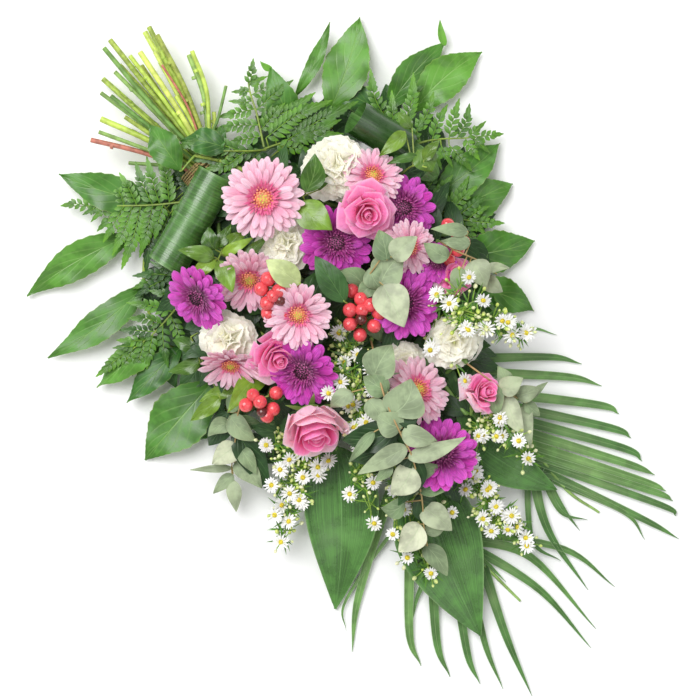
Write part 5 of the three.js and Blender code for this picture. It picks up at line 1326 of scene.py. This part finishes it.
# each spray: its stem in mm; radius of its florets; florets as x, y, z of the head, x and y of
# where it faces, and x, y, z of its root; and further florets, as u and v pixels of the picture,
# each from the root of its nearest neighbour
ASTERS = {
    "aster_spray_left": ([
        (-60, -82, 36), (-58, -92, 36), (-54, -118, 36), (-62, -155, 30), (-70, -186, 22),
    ], 8.6, [
        (-87, -90, 46, -0.2, -0.2, -59, -86, 36), (-64, -104, 47, 0.1, -0.1, -58, -91, 36),
        (-24, -106, 49, -0.2, 0, -57, -95, 36), (-50, -122, 47, 0, -0.1, -55, -109, 36),
        (-35, -120, 44, 0, -0.2, -55, -109, 36), (-81, -130, 43, -0.2, -0.1, -55, -122, 35),
        (-63, -138, 43, -0.1, -0.1, -55, -126, 35), (-72, -150, 39, 0.1, 0, -58, -139, 33),
        (-52, -148, 40, 0, 0.2, -57, -135, 34), (-64, -167, 36, -0.1, 0.1, -61, -152, 30),
        (-72, -188, 29, -0.2, -0.1, -67, -173, 25),
    ], [(318, 467), (280, 470), (299, 500), (275, 515), (266, 446), (304, 452)]),
    "aster_spray_middle": ([(-14, 29, 56), (-12, 20, 60), (0, -24, 82), (8, -74, 78), (4, -128, 44)], 8.6, [
        (5, 0, 81, 0, -0.1, -11, 16, 63), (18, -14, 86, -0.1, 0.1, -7, 4, 70),
        (19, -34, 93, -0.1, 0, -2, -16, 77), (13, -66, 93, -0.1, -0.1, 4, -44, 82),
        (-12, -26, 91, -0.2, -0.2, -6, -2, 73), (-14, 22, 67, -0.1, 0.1, -13, 22, 59),
        (-6, -50, 89, 0, 0, 1, -29, 82), (6, -90, 78, 0, 0.2, 8, -72, 78),
        (-3, -138, 57, -0.1, 0, 6, -110, 57), (20, -126, 61, 0, -0.2, 6, -104, 61),
    ], [(354, 428), (329, 393), (374, 524), (353, 404), (366, 440), (344, 362)]),
    "aster_spray_right": ([(73, 46, 58), (80, 46, 66), (108, 44, 98), (142, 31, 80), (174, 22, 60)], 8.6, [
        (127, 54, 102, 0, 0, 106, 44, 96), (112, 76, 110, 0.2, -0.1, 94, 45, 84),
        (94, 50, 95, 0.1, 0, 84, 46, 72), (130, 26, 92, 0, 0.2, 119, 40, 93),
        (146, 34, 90, 0.2, -0.1, 133, 34, 86), (156, 20, 82, 0.2, 0.1, 142, 31, 80),
        (174, 22, 71, 0, -0.1, 160, 26, 69), (112, 24, 100, 0.1, 0, 106, 44, 96),
        (78, 8, 80, 0, 0.1, 77, 46, 63),
    ], [(437, 295), (465, 329), (481, 328), (526, 333), (430, 350), (464, 381), (508, 322)]),
    "aster_spray_far_right": ([
        (115, -58, 54), (124, -62, 54), (138, -68, 54), (160, -88, 46), (175, -102, 40),
    ], 7.6, [
        (145, -62, 71, 0, 0.2, 132, -66, 54), (147, -80, 63, 0.1, 0, 143, -72, 53),
        (175, -103, 47, -0.1, 0.1, 168, -96, 43), (128, -80, 64, 0.1, 0, 127, -63, 54),
        (162, -84, 93, 0, 0.1, 152, -81, 49),
    ], [(479, 436), (497, 436), (500, 421), (474, 458)]),
    "aster_spray_lower_right": ([
        (101, -111, 50), (108, -118, 48), (126, -136, 44), (147, -164, 36), (174, -190, 26),
    ], 8.6, [
        (122, -116, 54, 0.1, 0.1, 104, -114, 49), (112, -134, 57, 0, 0.2, 108, -117, 48),
        (136, -132, 52, 0, 0.1, 120, -130, 45), (143, -152, 47, -0.1, 0.1, 132, -144, 42),
        (158, -160, 47, 0, 0, 143, -158, 38), (130, -163, 50, 0.1, 0.1, 132, -144, 42),
        (138, -175, 46, -0.1, 0.2, 140, -155, 39), (155, -174, 41, -0.1, -0.1, 146, -162, 37),
        (174, -191, 38, -0.1, 0, 164, -181, 30),
    ], [(487, 490), (496, 507), (508, 516), (526, 538), (474, 476), (518, 527)]),
    "aster_spray_bottom": ([
        (41, -108, 55), (44, -118, 54), (54, -152, 50), (64, -190, 40), (78, -216, 30),
    ], 7.6, [
        (98, -156, 59, 0, -0.1, 54, -150, 50), (50, -150, 64, -0.1, -0.1, 50, -136, 52),
        (78, -218, 38, 0.1, -0.1, 71, -204, 35), (54, -202, 49, -0.1, 0.2, 62, -183, 42),
        (40, -134, 64, -0.1, -0.2, 44, -118, 54),
    ], [(404, 509), (430, 574), (393, 534), (412, 540)]),
}


def aster_spray(stem, radius, heads, more, seed):
    """Florets on thin stems, with buds and narrow leaves between them."""
    random = np.random.default_rng(seed)
    piece = Piece()
    piece.stem(stem, (1.3, 0.6), "thin stem", 0.4, 7, 8)
    for u, v in more:
        flat = seen(u, v, 60.0)
        near = min(heads, key=lambda head: math.hypot(head[0] - flat[0], head[1] - flat[1]))
        spot = seen(u, v, near[2] - 2 + 4 * random.random())
        heads = [*heads, (*spot, 0.0, 0.0, *near[5:])]
    for *head, x_way, y_way, x, y, z in heads:
        head, root = np.array(head, float), np.array([x, y, z], float)
        way = unit([x_way + 0.3 * random.normal(), y_way + 0.3 * random.normal(), 1.0])
        foot = head - way * 3.0
        middle = (root + foot) / 2 + heading(360 * random.random()) * 2.5
        piece.stem([root, middle, foot], (0.9, 0.55), "thin stem", 0.3, 5, 5)
        aster(piece, head, way, radius * (0.92 + 0.22 * random.random()), random)
        line = smooth_line([root, middle, foot], 6)
        for i in range(7 + int(4 * random.random())):
            start = line[1 + int(9 * random.random())]
            out = heading(360 * random.random()) * (6 + 12 * random.random())
            tip = start + out + UP * (1 + 6 * random.random())
            piece.stem([start, (start + tip) / 2 + UP, tip], (0.55, 0.4), "thin stem", 0.2, 4, 1)
            bud(piece, tip, unit(tip - start + UP * 3), 1.2 + 1.2 * random.random(), random)
        for i in range(14):
            start = line[1 + int(9 * random.random())]
            out = heading(360 * random.random()) * (8 + 13 * random.random())
            blade = leaf(start, start + out + UP * (6 * random.random() - 4), 2.1, lance, arch=1.0, rows=5,
                         columns=3)
            piece.blade(blade, 0.35, "fern leaf", 0.7 * random.random())
    return piece


for seed, (node, values) in enumerate(ASTERS.items(), 101):
    aster_spray(*values, seed).make(f"{node}_florets", "aster", node)


# ---------------------------------------------------------------- bound stems and twine
TIE = np.array([-148.0, 192.0, 19.7])  # the middle of the bundle at the tie, in mm
FORWARD, ACROSS = heading(-48.0), heading(42.0)  # from the tie into the spray, and across its stems
HALF_HEIGHT, HALF_WIDTH = 16.5, 26.0  # of the bundle at the tie, in mm
# pixel and height of the cut end, radius, finish, tone, and how far the stem bends to its right
CUT_STEMS = [
    (91, 140, 29, 2.7, "red", 0.3, 2), (99, 132, 34, 2.2, "green", 0.8, 2),
    (101, 119, 24, 3.3, "yellow", 0.2, 2), (101, 93, 22, 2.3, "green", 0.6, 1),
    (111, 96, 34, 2.4, "green", 0.0, -1), (103, 79, 12, 2.9, "olive", 0.2, 0),
    (104, 48, 34, 2.6, "green", 0.2, -3), (110, 40, 24, 2.9, "olive", 0.3, 0),
    (120, 65, 12, 2.3, "olive", 0.5, 0), (130, 56, 34, 2.4, "yellow", 0.1, 0),
    (140, 52, 36, 3.0, "yellow", 0.7, 2), (141, 66, 20, 3.1, "olive", 0.7, 0),
    (145, 32, 14, 3.1, "yellow", 0.4, 0), (149, 27, 26, 2.8, "olive", 0.2, 2),
    (157, 35, 33, 2.8, "olive", 0.6, 3), (189, 55, 22, 2.8, "green", 1.0, 7),
    (192, 51, 34, 2.5, "yellow", 0.2, 8), (226, 86, 36, 1.7, "green", 0.2, 0),
    (125, 117, 34, 2.3, "olive", 0.3, 0), (131, 131, 16, 2.9, "yellow", 0.9, 0),
    (129, 163, 11, 2.1, "green", 0.5, 0), (162, 65, 36, 1.3, "red", 0.2, 3),
    (145, 100, 24, 2.6, "yellow", 0.5, 0), (147, 104, 12, 2.4, "green", 0.4, 0),
    (160, 62, 12, 2.6, "yellow", 0.2, 2), (115, 72, 26, 2.3, "green", 0.7, 0),
    (176, 96, 30, 2.5, "yellow", 0.3, 4), (135, 84, 20, 2.0, "green", 0.5, 0),
    (155, 52, 20, 2.2, "yellow", 0.6, 1), (168, 62, 24, 2.2, "olive", 0.4, 2),
    (112, 88, 18, 2.2, "olive", 0.2, 0), (214, 112, 24, 2.2, "yellow", 0.5, 4),
]
# the stems that run from the tie to each bloom and branch
STEM_LINES = [
    [(-77, 64, 68), (-77, 64, 59), (-94, 94, 46), (-116, 134, 46), (-132, 163, 28), (-141, 174, 28)],
    [(10, 42, 54), (10, 42, 45), (-24, 87, 46), (-79, 138, 46), (-126, 169, 28), (-136, 179, 28)],
    [(-91, 161, 78), (-91, 162, 69), (-120, 174, 20), (-130, 184, 20)],
    [(10, 157, 62), (9, 160, 54), (-30, 156, 39), (-78, 165, 39), (-113, 180, 20), (-123, 190, 20)],
    [(-49, 47, 83), (-48, 50, 74), (-73, 84, 32), (-106, 130, 32), (-131, 164, 11), (-140, 175, 11)],
    [(-16, 187, 50), (-16, 186, 41), (-45, 184, 32), (-84, 182, 32), (-113, 180, 11), (-123, 190, 11)],
    [(-22, 116, 64), (-24, 118, 56), (-53, 134, 32), (-93, 156, 32), (-122, 172, 11), (-132, 182, 11)],
    [(44, 144, 70), (40, 142, 62), (-9, 143, 32), (-71, 158, 32), (-116, 178, 11), (-126, 188, 11)],
    [(-39, -8, 74), (-35, -5, 66), (-64, 45, 39), (-104, 112, 39), (-134, 161, 20), (-143, 172, 20)],
    [(-45, -56, 52), (-46, -51, 44), (-73, 12, 46), (-108, 97, 46), (-135, 161, 28), (-144, 171, 28)],
    [(43, 45, 66), (42, 45, 57), (-8, 83, 39), (-74, 133, 39), (-124, 171, 20), (-133, 181, 20)],
    [(88, -101, 63), (86, -103, 54), (21, -23, 39), (-66, 84, 39), (-131, 164, 20), (-140, 175, 20)],
    [(54, -41, 64), (50, -42, 56), (-4, 20, 46), (-75, 104, 46), (-129, 166, 28), (-138, 176, 28)],
    [(-102, 89, 65), (-102, 94, 57), (-112, 114, 32), (-124, 141, 32), (-134, 162, 11), (-143, 172, 11)],
    [(-155, 70, 64), (-155, 75, 56), (-151, 99, 32), (-144, 132, 32), (-140, 156, 11), (-149, 167, 11)],
    [(16, 175, 72), (14, 172, 63), (-25, 174, 46), (-76, 177, 46), (-114, 179, 28), (-124, 189, 28)],
    [(-94, -46, 36), (-94, -46, 27), (-107, 16, 32), (-124, 97, 32), (-137, 159, 11), (-146, 170, 11)],
    [(104, 116, 44), (104, 116, 35), (38, 134, 46), (-51, 158, 46), (-117, 177, 28), (-127, 187, 28)],
    [(-84, 11, 45), (-86, 14, 37), (-101, 57, 39), (-122, 115, 39), (-138, 158, 20), (-147, 169, 20)],
    [(-68, 112, 48), (-68, 112, 39), (-86, 128, 32), (-110, 150, 32), (-128, 167, 11), (-137, 177, 11)],
    [(-122, 16, 46), (-120, 18, 38), (-126, 60, 46), (-133, 116, 46), (-138, 158, 28), (-147, 169, 28)],
    [(-130, 4, 53), (-130, 11, 48), (-133, 54, 39), (-138, 112, 39), (-141, 155, 20), (-150, 166, 20)],
    [(44, 111, 57), (40, 112, 48), (-7, 132, 39), (-70, 158, 39), (-117, 177, 20), (-126, 187, 20)],
    [(98, 15, 44), (97, 14, 35), (31, 61, 46), (-57, 124, 46), (-123, 171, 28), (-133, 182, 28)],
    [(104, -42, 45), (99, -42, 37), (32, 22, 32), (-58, 106, 32), (-125, 170, 11), (-134, 180, 11)],
    [(92, 63, 41), (89, 62, 32), (26, 96, 46), (-58, 140, 46), (-120, 174, 28), (-130, 184, 28)],
    [(82, 77, 55), (81, 75, 46), (21, 105, 32), (-59, 145, 32), (-119, 175, 11), (-129, 185, 11)],
    [(50, 3, 40), (49, 5, 31), (-4, 54, 39), (-74, 119, 39), (-127, 168, 20), (-136, 178, 20)],
    [(-138, 170, 42), (-134, 173, 42), (-137, 168, 31)],
    [(-162, 156, 24), (-157, 156, 25), (-150, 166, 20)],
    [(-104, 180, 30), (-106, 175, 31), (-109, 185, 34)],
    [(-108, 184, 44), (-103, 182, 44), (-109, 185, 34)],
    [(-150, 142, 20), (-145, 143, 22), (-146, 152, 20)], [(-98, 178, 20), (-101, 174, 21), (-108, 178, 18)],
    [(-124, 122, 62), (-123, 126, 58), (-133, 120, 45)], [(-152, 92, 26), (-148, 96, 27), (-134, 59, 39)],
    [(-44, 140, 60), (-43, 138, 55), (-57, 140, 46)], [(-118, 34, 40), (-113, 36, 39), (-124, 40, 46)],
    [(26, 208, 26), (23, 204, 24), (-21, 186, 47)], [(44, 186, 24), (39, 184, 24), (11, 199, 31)],
    [(44, 176, 56), (41, 174, 52), (9, 175, 67)], [(4, 66, 66), (2, 64, 61), (-9, 66, 50)],
    [(60, 178, 20), (56, 182, 22), (-30, 148, 32)], [(-14, 29, 56), (-16, 33, 53), (-19, 39, 46)],
    [(-104, -34, 50), (-102, -29, 51), (-99, -24, 34)], [(18, 14, 70), (17, 17, 66), (2, 15, 49)],
    [(86, 112, 60), (84, 113, 55), (80, 123, 45)], [(73, 46, 58), (70, 47, 54), (62, 40, 45)],
    [(-60, -82, 36), (-60, -77, 36), (-50, -44, 51)], [(-17, -68, 32), (-17, -64, 34), (-52, -50, 48)],
    [(98, 20, 22), (95, 24, 23), (91, -30, 43)],
    [(40, -80, 24), (38, -76, 25), (56, -81, 28), (76, -87, 59)],
    [(112, -8, 68), (108, -5, 67), (91, -20, 40)], [(41, -108, 55), (40, -103, 56), (59, -82, 33)],
    [(57, -106, 32), (55, -101, 33), (51, -89, 42)], [(114, -58, 54), (110, -56, 54), (91, -30, 43)],
    [(105, -76, 32), (101, -74, 33), (106, -50, 51)], [(101, -111, 50), (97, -107, 50), (76, -87, 59)],
]


def cut_stems(piece):
    """The stems beyond the tie, with pale cut ends and a few knots."""
    random = np.random.default_rng(111)
    for u, v, z, radius, bark, tone, bend in CUT_STEMS:
        end = seen(u, v, z)
        spread = np.dot(end - TIE, ACROSS)
        start = TIE * (1, 1, 0) + UP * (8 + 0.57 * z) + ACROSS * 0.27 * spread - FORWARD * 11.7
        back = start + FORWARD * 26
        middle = (start + end) / 2 + ACROSS * bend + heading(360 * random.random()) * 1.2
        radius *= 0.9
        piece.stem([back, start, middle, end], (radius * 0.9, radius * 1.05), f"{bark} stem", tone, 10, 6)
        way = unit(end - middle)
        piece.stem([end - way * 0.2, end + way * 0.4], radius * 0.86, "cut end", random.random(), 10, 1)
        for share in (0.35, 0.7):
            knot = start + (end - start) * (share + 0.1 * random.random())
            if random.random() < 0.45:
                piece.stem([knot - way * 1.6, knot, knot + way * 1.6], (radius * 1.22, radius * 1.1),
                           f"{bark} stem", tone, 10, 2)


# corners of the dense middle of the spray, where leaves fill what the blooms leave open
DENSE = np.array([
    (-196, 146), (-120, 200), (-20, 224), (60, 210), (132, 140), (140, 60), (150, 0), (150, -70), (130, -140),
    (90, -160), (30, -130), (-60, -120), (-90, -104), (-120, -70), (-180, -24), (-214, 40), (-206, 100),
], float)


def inside_dense(x, y):
    ahead = np.roll(DENSE, -1, axis=0)
    crossing = (DENSE[:, 1] > y) != (ahead[:, 1] > y)
    with np.errstate(divide="ignore", invalid="ignore"):
        where = DENSE[:, 0] + (y - DENSE[:, 1]) * (ahead[:, 0] - DENSE[:, 0]) / (ahead[:, 1] - DENSE[:, 1])
    return int((crossing & (x < where)).sum()) % 2 == 1


SHOOT_PITCH = 7.5  # mm of stem from one leaf to the next
SHOOT_TOP = 60  # no leaf of the stems comes higher, in mm


def side_shoots(piece):
    """Dark leaves on the stems, which close the spray between and under the blooms, their darkness partly
    painted shade.
    """
    random = np.random.default_rng(112)
    for line in STEM_LINES:
        path = smooth_line(line, 8)
        for i in range(int(np.linalg.norm(path[0] - path[-1]) / SHOOT_PITCH)):
            base = path[int(random.random() * 0.85 * len(path))]
            length = 30 + 30 * random.random()
            rise = 34 * random.random() - 24
            tip = base + heading(360 * random.random()) * length + UP * rise
            tip[2] = max(tip[2], 3.0)
            if tip[2] > SHOOT_TOP or not inside_dense(*tip[:2]):
                continue
            grid = leaf(base, tip, 15 + 12 * random.random(), ovate, arch=3, wave=1.2,
                        phase=6 * random.random(), twist=30 * (random.random() - 0.5), rows=8, columns=5)
            piece.blade(grid, 0.6, "dark leaf", 0.7 * random.random() ** 2, 1.0)


def loop_tube(piece, line, radius, finish, tone, sides=6):
    """A closed ring of cord, as two half rings that meet."""
    half = len(line) // 2
    for part in (line[:half + 1], np.vstack([line[half:], line[:1]])):
        ahead = np.gradient(part, axis=0)
        ahead /= np.linalg.norm(ahead, axis=1, keepdims=True)
        rings = [ring_round(place, radius, way, unit(np.cross(way, FORWARD)), sides)
                 for place, way in zip(part, ahead)]
        piece.body(np.array(rings), finish, tone)


STRAND = 1.05  # radius of the twine, in mm
TURNS = 6
TURN_PITCH = 2.16  # mm from one turn to the next


def twine_windings(piece):
    """Turns of two-strand twine side by side round the bundle, and its knot."""
    random = np.random.default_rng(113)
    angle = np.linspace(0, 2 * math.pi, 73)[:-1]
    for number in range(TURNS):
        offset = -5.4 + TURN_PITCH * number
        for side in (0, math.pi):
            spin = angle * 26 + side
            out = STRAND + 0.55 * np.cos(spin)
            high = np.maximum((HALF_HEIGHT + out + 0.6) * np.sin(angle) + TIE[2], 1.2)
            ring = (TIE[:2] + np.outer((HALF_WIDTH + out + 0.6) * np.cos(angle), ACROSS[:2])
                    + np.outer(offset + 0.55 * np.sin(spin) + 0.5 * np.sin(2 * angle + number), FORWARD[:2]))
            tone = 0.3 + 0.4 * random.random()
            loop_tube(piece, np.column_stack([ring, high]), STRAND * 0.62, "twine", tone)
    top = TIE + UP * (HALF_HEIGHT + 2.6)
    for tilt in (-1, 1):
        end = top + ACROSS * tilt * 13 + FORWARD * 5 - UP * 3.4
        piece.stem([top - ACROSS * tilt * 2.5, top + UP * 1.6, top + ACROSS * tilt * 6 + UP * 0.4, end],
                   (1.2, 1.0), "twine", 0.5, 7, 5)


bundle, shoots, cord = Piece(), Piece(), Piece()
for line in STEM_LINES:
    bundle.stem(line, (2.0, 2.2), "green stem", 0.35, 8, 4)
cut_stems(bundle)
bundle.make("bound_stems_bundle", "stem", "bound_stems")
side_shoots(shoots)
shoots.make("side_shoots", "leaf")
twine_windings(cord)
cord.make("twine_windings", "twine", "twine")
